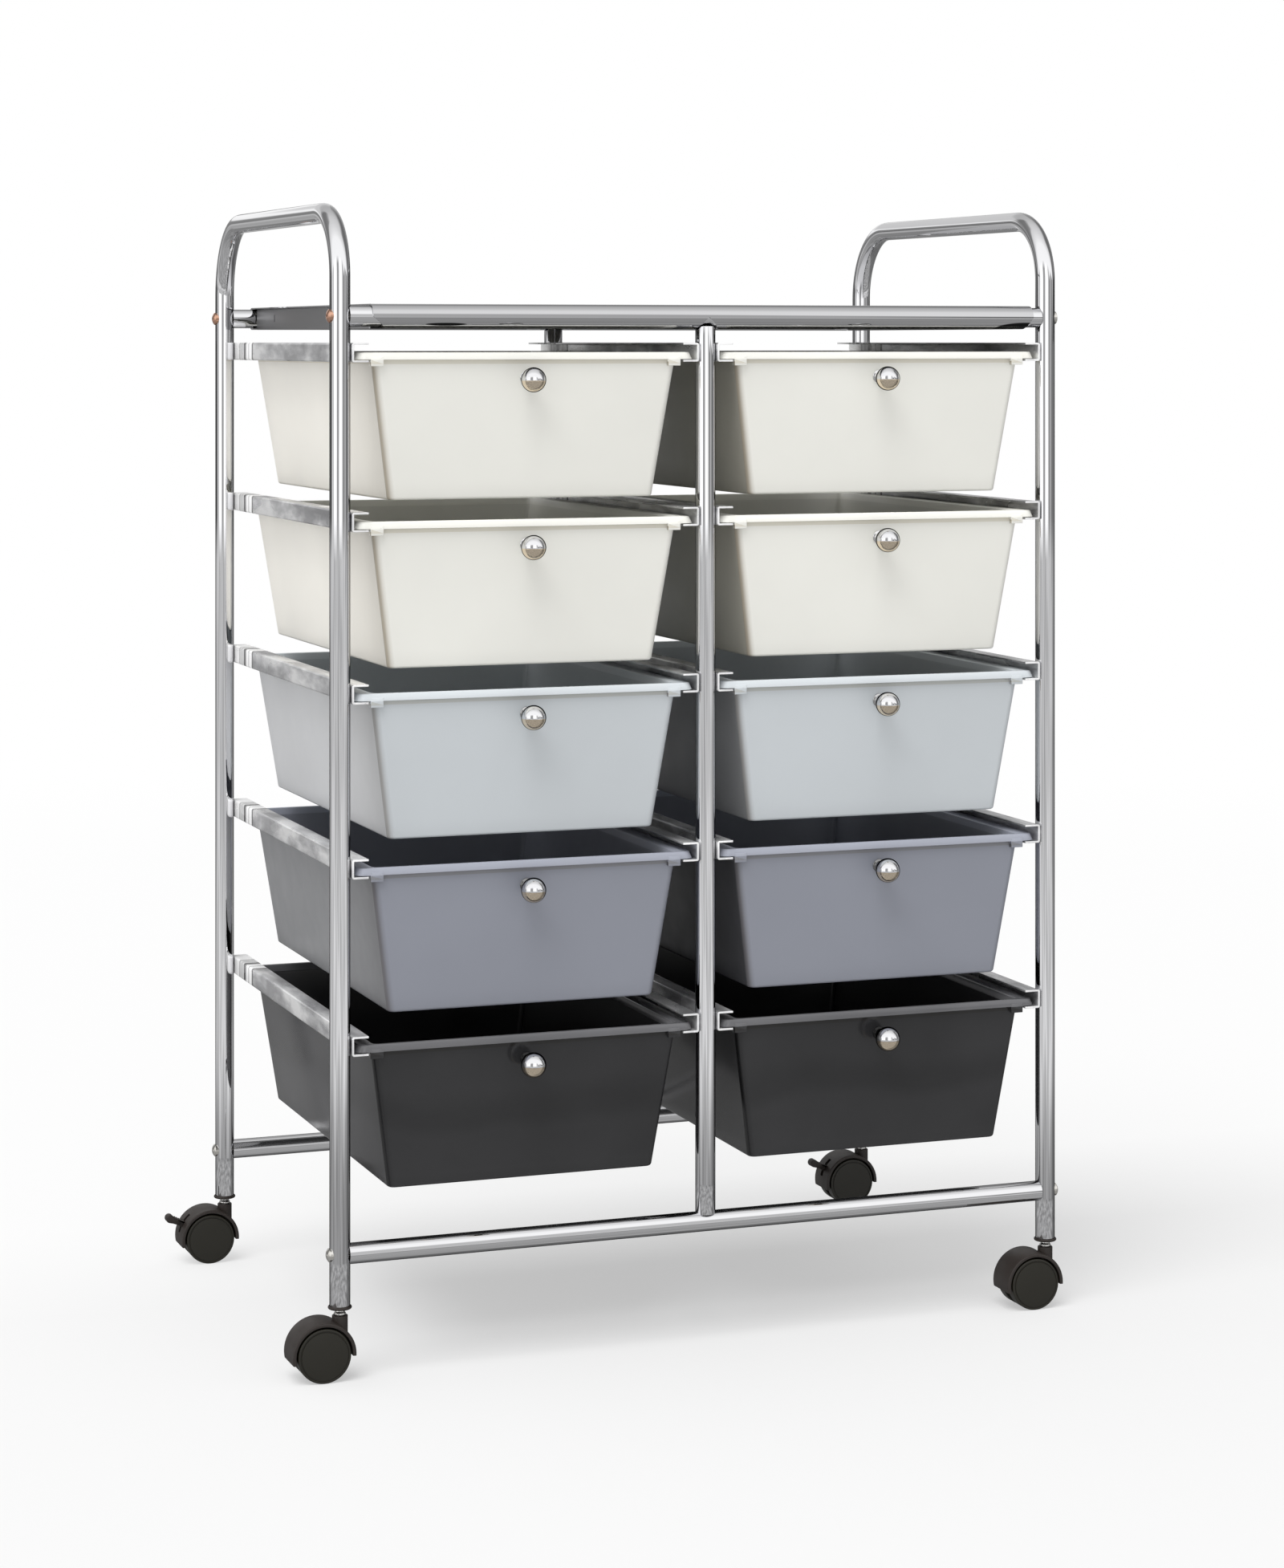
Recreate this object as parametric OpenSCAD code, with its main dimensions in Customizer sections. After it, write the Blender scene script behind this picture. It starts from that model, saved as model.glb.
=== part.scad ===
// Rolling drawer cart: a chrome tube frame on four casters with ten moulded drawers.
// The origin is on the floor midway between the four posts. X runs to the right,
// Y to the back and Z up. All sizes are in millimetres and degrees.

/* [Frame] */
// Distance between the axes of the left and right posts
frame_w = 600; // [560:2:680]
// Distance between the axes of the front and back posts
frame_d = 376; // [330:2:430]
// Height of the top of the handles above the floor
frame_h = 900.5; // [892:0.5:960]
// Outer diameter of every frame tube
tube_d = 16; // [15:0.5:17]
// Wall thickness of the frame tubes
tube_wall = 1.2; // [1:0.1:1.8]
// Centre-line radius of the bend above a front post
front_bend_r = 50; // [30:1:60]
// Centre-line radius of the bend above a back post
back_bend_r = 61; // [30:1:64]
// Height of the handle top above the axis of the top rails
handle_h = 88.3; // [80:0.1:110]
// Height of the axis of the bottom rails above the floor
bottom_rail_z = 94; // [86:1:100]
// How far the cut top of a centre post lies below the axis of its rail
post_top_drop = 7.4; // [6.5:0.1:7.9]
// How far the cut foot of a centre post lies above the axis of its rail
post_foot_rise = 6.3; // [6:0.1:7.4]

/* [Screws] */
// Shank diameter of the screws that hold the rails
screw_d = 5; // [4:0.5:6]
// Head diameter of the rail screws
screw_head_d = 10.5; // [9:0.5:12]
// Height of the rounded top of a rail screw head
screw_dome_h = 2.2; // [1.5:0.1:3]
// Height of the flatter top of the two upper screws on the right
screw_low_dome_h = 0.6; // [0.4:0.1:1.5]
// Thickness of the screw head under its dome
screw_rim_h = 0.8; // [0.5:0.1:1.5]
// Length of the threaded insert in each rail end
insert_len = 18; // [12:1:30]

/* [Shelf] */
// Thickness of the shelf's sheet
sheet_t = 1.25; // [0.8:0.05:1.6]
// Length of the shelf along the rails
shelf_len = 561; // [520:1:561]
// How far the shelf lies to the right of the centre
shelf_shift = 4.5; // [0:0.5:5]
// Depth of the folded ends of the shelf
shelf_flange_h = 19; // [15:0.5:21]
// How far a folded end lies inside the end of the rolled edges
shelf_flange_inset = 2; // [1:0.5:5]
// How far the lower half of the front rolled edge is cut back at its left end
roll_cut_left = 11; // [4:1:15]
// How far the lower half of the front rolled edge is cut back at its right end
roll_cut_right = 6; // [4:1:15]

/* [Runners] */
// Number of drawer levels
levels = 5; // [3:1:5]
// Height of a runner channel
runner_h = 15; // [13:0.5:17]
// Width of a runner channel
runner_w = 13.1; // [11:0.1:15]
// Thickness of the runner's steel
runner_wall = 1.5; // [1:0.1:1.8]
// How far each runner reaches past the axis of its posts
runner_overhang = 6.7; // [3:0.1:10]
// Height of the top rail axis above the bottom of the highest runner
first_drop = 35.5; // [32:0.5:40]
// Gap below the lowest drawer as a multiple of the mean gap between drawers
floor_gap_ratio = 2; // [1:0.1:3]
// How much each further distance between levels grows
pitch_step = 1.85; // [0:0.05:2]

/* [Drawers] */
// Depth of the drawer's tub below its rim
tub_depth = 108.5; // [80:0.5:110]
// Thickness of the tub's walls
tub_wall = 2.2; // [1.6:0.1:3]
// How far each side of the tub leans inwards from rim to bottom
side_taper = 16.9; // [5:0.1:25]
// How far the front and the back of the tub lean inwards
end_taper = 10.8; // [4:0.1:20]
// Radius of the tub's upright corners
tub_corner_r = 6; // [4:0.5:12]
// Radius of the edge between the tub's walls and its bottom
tub_edge_r = 2; // [1.5:0.5:5]
// Height of the rim
rim_h = 5.7; // [4.5:0.1:8]
// Thickness of the rim's top and lip
rim_t = 2; // [1.4:0.1:2.4]
// How far the rim's side lips lean outwards from top to bottom
rim_draft = 2.7; // [0.5:0.1:4]
// Radius of the rim's outer corners
rim_corner_r = 8; // [6:0.5:12]
// Width of the rim in front of the tub and behind it
end_lip = 2.9; // [2.2:0.1:5]
// Width of the two tabs under the rim's front corners
tab_w = 10.3; // [6:0.1:14]
// Height of the tabs
tab_h = 5; // [3:0.5:8]
// Depth of the tabs from front to back
tab_d = 6; // [5:0.5:10]
// Distance from the tub's side to the middle of the tab
tab_inset = 3.8; // [3:0.1:20]

/* [Knobs] */
// Diameter of the ball of a knob
knob_d = 19.5; // [14:0.5:22]
// Distance from the drawer's face to the centre of the ball
knob_reach = 18.3; // [15:0.1:25]
// Diameter of the knob's neck
knob_neck_d = 7; // [6.5:0.5:9]
// Diameter of the knob's foot
knob_foot_d = 10.6; // [10:0.2:14]
// Height of the knob's foot
knob_foot_h = 1.5; // [1:0.1:3]
// Distance from the rim's lower edge down to the knob's screw
knob_drop = 14; // [13:0.5:40]
// Shank diameter of the knob screw
knob_screw_d = 4; // [3:0.5:4]
// Head diameter of the knob screw
knob_screw_head_d = 8; // [7:0.5:10]
// Head height of the knob screw
knob_screw_head_h = 2.6; // [2:0.1:4]

/* [Casters] */
// Diameter of the caster wheels
wheel_d = 41.6; // [38:0.2:43]
// Width of one caster wheel
wheel_w = 9.8; // [8:0.1:12]
// Distance from the stem axis back to the axle
trail = 15.5; // [14:0.5:17]
// Wall thickness of the hood
hood_wall = 2.8; // [2.2:0.1:3.2]
// Width of the hood's web between the two wheels
web_w = 8; // [7.6:0.1:10]
// How far the hood reaches below the axle on the trailing side
hood_skirt = 5.3; // [4:0.1:8]
// How far the hood's front lip reaches below the axle
hood_lip_drop = 1.4; // [0:0.1:4]
// Diameter of the boss that holds the stem
boss_d = 12.2; // [11:0.1:14]
// How far the boss stands above the hood
boss_rise = 2; // [1:0.1:3]
// Diameter of the stem
stem_d = 7; // [6:0.2:7.6]
// Depth of the stem in the boss
stem_depth = 7.2; // [5:0.1:7.4]
// Diameter of the collar on the stem
collar_d = 9.4; // [8.6:0.1:11]
// Distance from the top of the boss to the underside of the plug
neck_h = 4.9; // [3.4:0.1:8]
// Length of the stem inside the plug
stem_grip = 24; // [18:1:30]
// Diameter of the plug's flange
plug_flange_d = 18.5; // [18:0.1:21]
// Thickness of the plug's flange under the post
plug_flange_h = 1.8; // [1.2:0.1:3]
// How far the plug's flange reaches up round the post
plug_lip_h = 0.5; // [0.3:0.1:2]
// Diameter of the axle
axle_d = 5; // [4:0.5:6]

/* [Brake] */
// Thickness of the brake lever in the hood
lever_t = 4; // [3.4:0.1:4.2]
// Width of the lever's foot pad
pad_w = 9; // [6:0.5:12]
// Distance from the axle to the lever's pivot
pivot_r = 17; // [15:0.5:17.5]
// Angle of the lever's pivot seen from the axle
pivot_angle = 150; // [147:1:153]
// Distance from the stem axis back to the middle of the pad's round end
pad_reach = 48.5; // [46:0.5:54]
// Height of the middle of the pad's round end
pad_z = 38.6; // [37:0.2:40]
// Diameter of the pad's round end
pad_d = 6.8; // [5.4:0.2:7.4]
// Diameter of the lever's pivot pins
pivot_d = 3; // [2.4:0.2:3.4]

/* [Fits] */
// Gap between a drawer's rim and the runner that it slides on
slide_gap = 0.5; // [0.4:0.1:1]
// Gap between the side of a drawer's rim and the web of its runner
rim_side_gap = 1.5; // [1:0.1:2.5]
// Gap between the drawer's tub and the edges of its runners
tub_side_gap = 3.3; // [2.8:0.1:5]
// Distance from the front end of the runners back to the closed drawer's rim
rim_front_set = 1.1; // [0:0.1:4]
// Distance from the drawer's rim to the back end of the runners
rim_back_set = 13.7; // [8:0.1:20]
// Radial clearance of every turning fit
turn_gap = 0.05; // [0.03:0.01:0.1]
// Clearance round a piece that is pushed or dropped into a hole
push_gap = 0.1; // [0.05:0.01:0.15]
// Clearance between the rails and the shelf's rolled edges
roll_gap = 0.25; // [0.1:0.05:0.4]
// Gap between a wheel and the hood round it
hood_gap = 1.4; // [1:0.1:2]
// Gap between pieces that turn past each other
side_gap = 0.4; // [0.3:0.05:0.5]

/* [Hidden] */
$fn = 48;
past = 1;
tube_r = tube_d / 2;
bore_r = tube_r - tube_wall;
post_x = frame_w / 2;
post_y = frame_d / 2;
top_rail_z = frame_h - handle_h;
screw_r = screw_d / 2;
screw_head_r = screw_head_d / 2;
screw_slot = [0.9, 5, 1.6];
insert_set = 1;

roll_in_r = tube_r + roll_gap;
roll_out_r = roll_in_r + sheet_t;
shelf_left = shelf_shift - shelf_len / 2;
shelf_right = shelf_shift + shelf_len / 2;
roll_opening = 60;
post_notch_gap = 1.5;
flange_slot = [2, 6];
flange_slot_y = 115;

bay_w = frame_w / 2 - tube_d;
bay_x = frame_w / 4;
runner_len = frame_d + 2 * runner_overhang;
rim_hw = bay_w / 2 - runner_wall - rim_side_gap;
tub_hw = bay_w / 2 - runner_w - tub_side_gap;
rim_front = -post_y - runner_overhang + rim_front_set;
rim_back = post_y + runner_overhang - rim_back_set;
tub_front = rim_front + end_lip;
tub_back = rim_back - end_lip;
tub_h = tub_depth + rim_h;
rim_end_draft = 1.2;
first_rim_z = top_rail_z - first_drop + runner_wall + slide_gap;
free_h = first_rim_z - bottom_rail_z - tube_r - levels * tub_depth - (levels - 1) * rim_h;
mean_gap = free_h / (levels - 1 + floor_gap_ratio);
level_pitch = tub_depth + rim_h + mean_gap - pitch_step * (levels - 2) / 2;
corner_steps = 5;
edge_steps = 3;
front_lean = atan(end_taper / tub_h);
knob_face_y = tub_front + end_taper * (knob_drop + rim_h) / tub_h;
knob_screw_grip = 12;

wheel_r = wheel_d / 2;
hood_in_r = wheel_r + hood_gap;
hood_r = hood_in_r + hood_wall;
web_hw = web_w / 2;
wheel_in_y = web_hw + side_gap;
wheel_out_y = wheel_in_y + wheel_w;
hood_hw = wheel_out_y + 0.3;
boss_r = boss_d / 2;
boss_top_z = wheel_r + hood_r + boss_rise;
stem_r = stem_d / 2;
collar_r = collar_d / 2;
collar_h = 2.4;
plug_foot_z = boss_top_z + neck_h;
post_foot_z = plug_foot_z + plug_flange_h;
plug_len = stem_grip - plug_flange_h + past;
axle_r = axle_d / 2;
axle_end_y = wheel_out_y - 2;
tread_edge = 0.8;
face_ring_r = wheel_r - 1.9;
face_ring_w = 0.7;
face_ring_depth = 0.5;
face_dome_h = 0.7;
wheel_hub_r = 6;
wheel_rim_r = wheel_r - 3.5;
wheel_face_t = 3;
lever_hw = lever_t / 2;
slot_hw = lever_hw + side_gap;
slot_from = 128;
slot_to = 168;
pivot = [-trail + pivot_r * cos(pivot_angle), wheel_r + pivot_r * sin(pivot_angle)];
pivot_pin_r = pivot_d / 2;
pivot_hub_r = pivot_pin_r + 1.5;
pad_ribs = 5;
pad_rib_d = 1.5;
pad_rib_pitch = 2;

side_names = ["left", "right"];
end_names = ["front", "back"];
corners = [[0, 0], [0, 1], [1, 0], [1, 1]];
drawer_colors = [[0.90, 0.90, 0.87], [0.90, 0.90, 0.87], [0.73, 0.76, 0.78], [0.53, 0.56, 0.60],
                 [0.24, 0.24, 0.24]];

function sign_of(i) = 2 * i - 1;
function runner_z(level) =
    top_rail_z - first_drop - (level - 1) * level_pitch - pitch_step * (level - 1) * (level - 2) / 2;
function rim_z(level) = runner_z(level) + runner_wall + slide_gap;
function drawer_name(s, level) = str("drawer_", side_names[s], "_", level);
function knob_name(s, level) = str("knob_", side_names[s], "_", level);
function corner_name(c) = str(end_names[c[1]], "_", side_names[c[0]]);
function wheel_name(c, e) = str("wheel_", corner_name(c), "_", ["near", "far"][e]);

// Straight cylinder along X from x0 to x1
module bar_x(r, x0, x1, y, z) {
    translate([x0, y, z]) rotate([0, 90, 0]) cylinder(r = r, h = x1 - x0);
}

// Solid outline of a hoop: two posts, a bend above each and the handle bar between them
module hoop_solid(r, foot_z) {
    bar_z = frame_h - tube_r;
    bends = [front_bend_r, back_bend_r];
    for (e = [0:1]) mirror([0, 1 - e, 0]) {
        bend_z = bar_z - bends[e];
        translate([0, post_y, foot_z]) cylinder(r = r, h = bend_z - foot_z);
        translate([0, post_y - bends[e], bend_z]) rotate([90, 0, 90])
            rotate_extrude(angle = 90) translate([bends[e], 0]) circle(r = r);
    }
    translate([0, bends[0] - post_y, bar_z]) rotate([-90, 0, 0])
        cylinder(r = r, h = frame_d - bends[0] - bends[1]);
}

// One bent tube: front post, handle and back post, drilled for the rail screws
module hoop(s) {
    color([0.78, 0.78, 0.80]) translate([sign_of(s) * post_x, 0, 0]) difference() {
        hoop_solid(tube_r, post_foot_z);
        hoop_solid(bore_r, post_foot_z - past);
        for (y = [-post_y, post_y]) for (z = [bottom_rail_z, top_rail_z])
            bar_x(screw_r + push_gap, -tube_d, tube_d, y, z);
    }
}

// Rail between the hoops, its ends shaped to the posts
module rail(e, z) {
    y = sign_of(e) * post_y;
    end_x = post_x - tube_r + tube_r * (1 - cos(38));
    color([0.78, 0.78, 0.80]) difference() {
        bar_x(tube_r, -end_x, end_x, y, z);
        bar_x(bore_r, -end_x - past, end_x + past, y, z);
        for (x = [-post_x, post_x]) translate([x, y, z - tube_d]) cylinder(r = tube_r, h = 2 * tube_d);
    }
}

// Upright tube in the middle of a frame, cut flat and let into both rails
module center_post(e) {
    y = sign_of(e) * post_y;
    z0 = bottom_rail_z + post_foot_rise;
    z1 = top_rail_z - post_top_drop;
    color([0.78, 0.78, 0.80]) difference() {
        translate([0, y, z0]) cylinder(r = tube_r, h = z1 - z0);
        translate([0, y, z0 - past]) cylinder(r = bore_r, h = z1 - z0 + 2 * past);
        for (z = [bottom_rail_z, top_rail_z]) bar_x(tube_r, -tube_d, tube_d, y, z);
    }
}

// Profile of the rolled front edge, seen along X, open towards the inside below the sheet
module roll_profile() {
    difference() {
        circle(r = roll_out_r);
        circle(r = roll_in_r);
        polygon([[0, 0], [0, 2 * roll_out_r], [2 * roll_out_r, 2 * roll_out_r], [2 * roll_out_r, 0],
            [2 * roll_out_r * cos(roll_opening), -2 * roll_out_r * sin(roll_opening)]]);
    }
}

// One rolled edge with the notch for the centre post and, in front, slanting end cuts
module shelf_roll(slanted) {
    translate([0, -post_y, top_rail_z]) difference() {
        translate([shelf_left, 0, 0]) rotate([90, 0, 90]) linear_extrude(shelf_len) roll_profile();
        if (slanted) translate([0, 2 * roll_out_r, 0]) rotate([90, 0, 0]) linear_extrude(4 * roll_out_r) {
            polygon([[shelf_left - past, 0], [shelf_left, 0],
                [shelf_left + roll_cut_left, -roll_out_r - past],
                [shelf_left - past, -roll_out_r - past]]);
            polygon([[shelf_right + past, 0], [shelf_right, 0],
                [shelf_right - roll_cut_right, -roll_out_r - past],
                [shelf_right + past, -roll_out_r - past]]);
        }
        translate([0, 0, -2 * roll_out_r]) cylinder(r = tube_r + post_notch_gap, h = 2 * roll_out_r);
    }
}

// Top shelf: flat sheet with rolled long edges and folded ends
module top_shelf() {
    flange_y = post_y - roll_out_r - past;
    sheet_top = top_rail_z + roll_out_r;
    flange_left = shelf_left + shelf_flange_inset;
    flange_right = shelf_right - shelf_flange_inset;
    color([0.75, 0.75, 0.77]) {
        translate([shelf_left, -post_y, sheet_top - sheet_t]) cube([shelf_len, frame_d, sheet_t]);
        for (m = [0:1]) mirror([0, m, 0]) shelf_roll(m == 0);
        difference() {
            translate([flange_left, -flange_y, sheet_top - shelf_flange_h])
                cube([sheet_t, 2 * flange_y, shelf_flange_h - sheet_t / 2]);
            translate([flange_left - past, flange_slot_y, top_rail_z - flange_slot[1] / 2])
                cube([sheet_t + 2 * past, flange_slot[0], flange_slot[1]]);
        }
        translate([flange_right - sheet_t, -flange_y, sheet_top - shelf_flange_h])
            cube([sheet_t, 2 * flange_y, shelf_flange_h - sheet_t / 2]);
    }
}

// One steel channel whose web stands at x = 0 and whose open side faces +X
module runner() {
    translate([0, -runner_len / 2, 0]) difference() {
        cube([runner_w, runner_len, runner_h]);
        translate([runner_wall, -past, runner_wall])
            cube([runner_w, runner_len + 2 * past, runner_h - 2 * runner_wall]);
    }
}

// The four channels of one level, two for each drawer
module runners(level) {
    color([0.82, 0.82, 0.84]) translate([0, 0, runner_z(level)]) for (s = [0:1]) mirror([s, 0, 0]) {
        translate([tube_r, 0, 0]) runner();
        translate([post_x - tube_r, 0, 0]) mirror([1, 0, 0]) runner();
    }
}

// Domed screw along X: its head is shaped to the post, its shank ends in the rail's insert
module rail_screw(dome_h) {
    head_x = tube_r + screw_rim_h;
    dome_r = (pow(screw_head_r, 2) + pow(dome_h, 2)) / (2 * dome_h);
    difference() {
        union() {
            bar_x(screw_head_r, tube_r * cos(45), head_x, 0, 0);
            intersection() {
                translate([head_x + dome_h - dome_r, 0, 0]) sphere(r = dome_r);
                bar_x(screw_head_r, head_x - screw_rim_h / 2, head_x + dome_h, 0, 0);
            }
        }
        translate([0, 0, -tube_d]) cylinder(r = tube_r, h = 2 * tube_d);
        for (a = [0, 90]) translate([head_x + dome_h, 0, 0]) rotate([a, 0, 0])
            cube([2 * screw_slot[0], screw_slot[0], screw_slot[1]], center = true);
    }
    bar_x(screw_r, -tube_r - insert_set - insert_len + past, tube_r + screw_rim_h / 2, 0, 0);
}

// All eight rail screws
module rail_screws() {
    color([0.72, 0.60, 0.50]) for (s = [0:1]) mirror([1 - s, 0, 0])
        for (y = [-post_y, post_y]) for (z = [bottom_rail_z, top_rail_z])
            translate([post_x, y, z])
                rail_screw(s == 1 && z == top_rail_z ? screw_low_dome_h : screw_dome_h);
}

// All eight threaded inserts, pushed into the rail ends
module rail_inserts() {
    color("gray") for (s = [0:1]) mirror([1 - s, 0, 0])
        for (y = [-post_y, post_y]) for (z = [bottom_rail_z, top_rail_z]) {
            x1 = post_x - tube_r - insert_set;
            difference() {
                bar_x(bore_r - push_gap, x1 - insert_len, x1, y, z);
                bar_x(screw_r + push_gap, x1 - insert_len - past, x1 + past, y, z);
            }
        }
}

// Points of one rounded rectangle at height z, counter-clockwise seen from above
function ring_arc(x, y, r, from, z) =
    [for (i = [0:corner_steps]) [x + r * cos(from + 90 * i / corner_steps),
                                 y + r * sin(from + 90 * i / corner_steps), z]];
function ring(hw, y0, y1, r, z) = concat(
    ring_arc(hw - r, y0 + r, r, -90, z), ring_arc(hw - r, y1 - r, r, 0, z),
    ring_arc(r - hw, y1 - r, r, 90, z), ring_arc(r - hw, y0 + r, r, 180, z));

// Closed solid through a stack of rings from the lowest to the highest
module loft(rings) {
    n = len(rings[0]);
    top = n * (len(rings) - 1);
    sides = [for (k = [0:len(rings) - 2]) for (i = [0:n - 1])
        let (a = k * n + i, b = k * n + (i + 1) % n) each [[a, a + n, b + n], [a, b + n, b]]];
    polyhedron(points = [for (r = rings) each r],
        faces = concat([[for (i = [0:n - 1]) i]], sides, [[for (i = [n - 1:-1:0]) top + i]]));
}

// Ring of the tub at height z below the rim, moved inwards by inset
function tub_ring(z, inset) =
    let (share = (rim_h - z) / tub_h)
    ring(tub_hw - side_taper * share - inset, tub_front + end_taper * share + inset,
         tub_back - end_taper * share - inset, max(tub_corner_r - inset, 1.5), z);

// Solid tub inside the given inset, its bottom at height z0, rounded at the bottom edge
module tub_solid(inset, z0, z1) {
    edge = max(tub_edge_r - inset, 1.5);
    loft(concat(
        [for (i = [0:edge_steps]) let (a = 90 * i / edge_steps)
            tub_ring(z0 + edge * (1 - cos(a)), inset + edge * (1 - sin(a)))],
        [tub_ring(z1, inset)]));
}

// Rim with a top and a leaning lip, hollow below at both sides, and the front tabs
module rim_solid() {
    lip_in = rim_hw - rim_t;
    difference() {
        loft([ring(rim_hw, rim_front, rim_back, rim_corner_r, 0),
              ring(rim_hw - rim_draft, rim_front + rim_end_draft, rim_back - rim_end_draft,
                   rim_corner_r - rim_end_draft, rim_h)]);
        loft([ring(lip_in, tub_front, tub_back, rim_corner_r - rim_t, -past),
              ring(lip_in - rim_draft, tub_front, tub_back, rim_corner_r - rim_t, rim_h - rim_t)]);
    }
    for (s = [-1, 1]) translate([s * (tub_hw - tab_inset) - tab_w / 2, rim_front, -tab_h])
        cube([tab_w, tab_d, tab_h + rim_h / 2]);
}

// Places its children on the knob's axis, which is square to the drawer's face
module on_knob_axis() {
    translate([0, knob_face_y, -knob_drop]) rotate([90 + front_lean, 0, 0]) children();
}

// One drawer: tub, rim and the hole for the knob screw
module drawer(s, level) {
    color(drawer_colors[level - 1]) translate([sign_of(s) * bay_x, 0, rim_z(level)]) difference() {
        union() {
            tub_solid(0, -tub_depth, rim_h);
            rim_solid();
        }
        tub_solid(tub_wall, tub_wall - tub_depth, rim_h + past);
        on_knob_axis() translate([0, 0, -2 * tub_wall])
            cylinder(r = knob_screw_d / 2 + push_gap, h = 4 * tub_wall);
    }
}

// Ball knob with its foot on the drawer's face, and its screw from inside the drawer
module knob(s, level) {
    color([0.85, 0.85, 0.87]) translate([sign_of(s) * bay_x, 0, rim_z(level)]) on_knob_axis() {
        difference() {
            union() {
                cylinder(r = knob_foot_d / 2, h = knob_foot_h);
                cylinder(r = knob_neck_d / 2, h = knob_reach);
                translate([0, 0, knob_reach]) sphere(r = knob_d / 2);
            }
            translate([0, 0, -past]) cylinder(r = knob_screw_d / 2 + push_gap,
                                              h = knob_screw_grip + 2 * past);
        }
        translate([0, 0, -tub_wall]) cylinder(r = knob_screw_d / 2, h = tub_wall + knob_screw_grip);
        translate([0, 0, -tub_wall - knob_screw_head_h])
            cylinder(r = knob_screw_head_d / 2, h = knob_screw_head_h);
    }
}

// Moves its children to the post of one corner
module at_post(c) {
    translate([sign_of(c[0]) * post_x, sign_of(c[1]) * post_y, 0]) children();
}

// Plug in the foot of each post, with a flange round the tube's end
module post_plugs() {
    color([0.08, 0.08, 0.08]) for (c = corners) at_post(c) difference() {
        union() {
            translate([0, 0, plug_foot_z]) cylinder(r = plug_flange_d / 2, h = plug_flange_h + plug_lip_h);
            translate([0, 0, post_foot_z]) cylinder(r = bore_r - push_gap, h = plug_len);
        }
        translate([0, 0, post_foot_z]) difference() {
            cylinder(r = tube_r + push_gap, h = plug_lip_h + past);
            cylinder(r = bore_r - push_gap, h = plug_lip_h + past);
        }
        translate([0, 0, plug_foot_z - past]) cylinder(r = stem_r + turn_gap, h = plug_len + 4 * past);
    }
}

// Stem of each caster: a pin into the hood's boss, a collar and a grip in the plug
module caster_stems() {
    collar_z = boss_top_z + side_gap;
    color([0.75, 0.75, 0.75]) for (c = corners) at_post(c) {
        translate([0, 0, boss_top_z - stem_depth])
            cylinder(r = stem_r, h = stem_depth + neck_h + stem_grip);
        translate([0, 0, collar_z]) cylinder(r = collar_r, h = collar_h / 2);
        translate([0, 0, collar_z + collar_h / 2]) cylinder(r1 = collar_r, r2 = stem_r, h = collar_h / 2);
    }
}

// Cylinder along Y round the axle
module round_axle(r, y0, y1) {
    translate([-trail, y1, wheel_r]) rotate([90, 0, 0]) cylinder(r = r, h = y1 - y0);
}

// Angular sector seen from the axle, as wide as the lever's slot
module slot_sector(hw) {
    reach = 2 * hood_r;
    translate([-trail, hw, wheel_r]) rotate([90, 0, 0]) linear_extrude(2 * hw)
        polygon([[0, 0], [reach * cos(slot_from), reach * sin(slot_from)],
                 [reach * cos(slot_to), reach * sin(slot_to)]]);
}

// Hood of a caster: shell over the wheels, web between them and boss for the stem
module hood(c) {
    below = hood_skirt - hood_lip_drop;
    color([0.10, 0.10, 0.10]) at_post(c) difference() {
        union() {
            round_axle(hood_r, -hood_hw, hood_hw);
            translate([0, 0, wheel_r]) cylinder(r = boss_r, h = boss_top_z - wheel_r);
        }
        round_axle(hood_in_r, -hood_hw - past, -web_hw);
        round_axle(hood_in_r, web_hw, hood_hw + past);
        translate([-trail - 2 * hood_r, -2 * hood_hw, -hood_r])
            cube([4 * hood_r, 4 * hood_hw, hood_r + wheel_r - hood_skirt]);
        translate([-trail + wheel_r / 2, -2 * hood_hw, wheel_r - hood_skirt - past])
            cube([2 * hood_r, 4 * hood_hw, below + past]);
        round_axle(axle_r + turn_gap, -2 * web_hw, 2 * web_hw);
        translate([0, 0, boss_top_z - stem_depth - side_gap / 2])
            cylinder(r = stem_r + turn_gap, h = stem_depth + past);
        if (c[1] == 1) {
            difference() {
                slot_sector(slot_hw);
                round_axle(pivot_r - pivot_hub_r - side_gap, -hood_hw, hood_hw);
            }
            translate([pivot[0], 2 * web_hw, pivot[1]]) rotate([90, 0, 0])
                cylinder(r = pivot_pin_r + turn_gap, h = 4 * web_hw);
            translate([pivot[0], slot_hw, pivot[1]]) rotate([90, 0, 0])
                cylinder(r = pivot_hub_r + side_gap, h = 2 * slot_hw);
        }
    }
}

// Axle through the hood's web, with a free end for each wheel
module axle(c) {
    color("silver") at_post(c) round_axle(axle_r, -axle_end_y, axle_end_y);
}

// Half profile of a wheel: radius across, distance from its inner face up
module wheel_profile() {
    bore = axle_r + turn_gap;
    bore_end = axle_end_y + side_gap - wheel_in_y;
    difference() {
        polygon([[0, 0], [wheel_r - tread_edge, 0], [wheel_r, tread_edge],
            [wheel_r, wheel_w - tread_edge], [wheel_r - tread_edge, wheel_w],
            [face_ring_r, wheel_w], [face_ring_r, wheel_w - face_ring_depth],
            [face_ring_r - face_ring_w, wheel_w - face_ring_depth], [face_ring_r - face_ring_w, wheel_w],
            [face_ring_r * 0.6, wheel_w + face_dome_h * 0.7], [face_ring_r * 0.3, wheel_w + face_dome_h],
            [0, wheel_w + face_dome_h]]);
        translate([-past, -past]) square([bore + past, bore_end + past]);
        translate([wheel_hub_r, -past])
            square([wheel_rim_r - wheel_hub_r, wheel_w - wheel_face_t + past]);
    }
}

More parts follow.
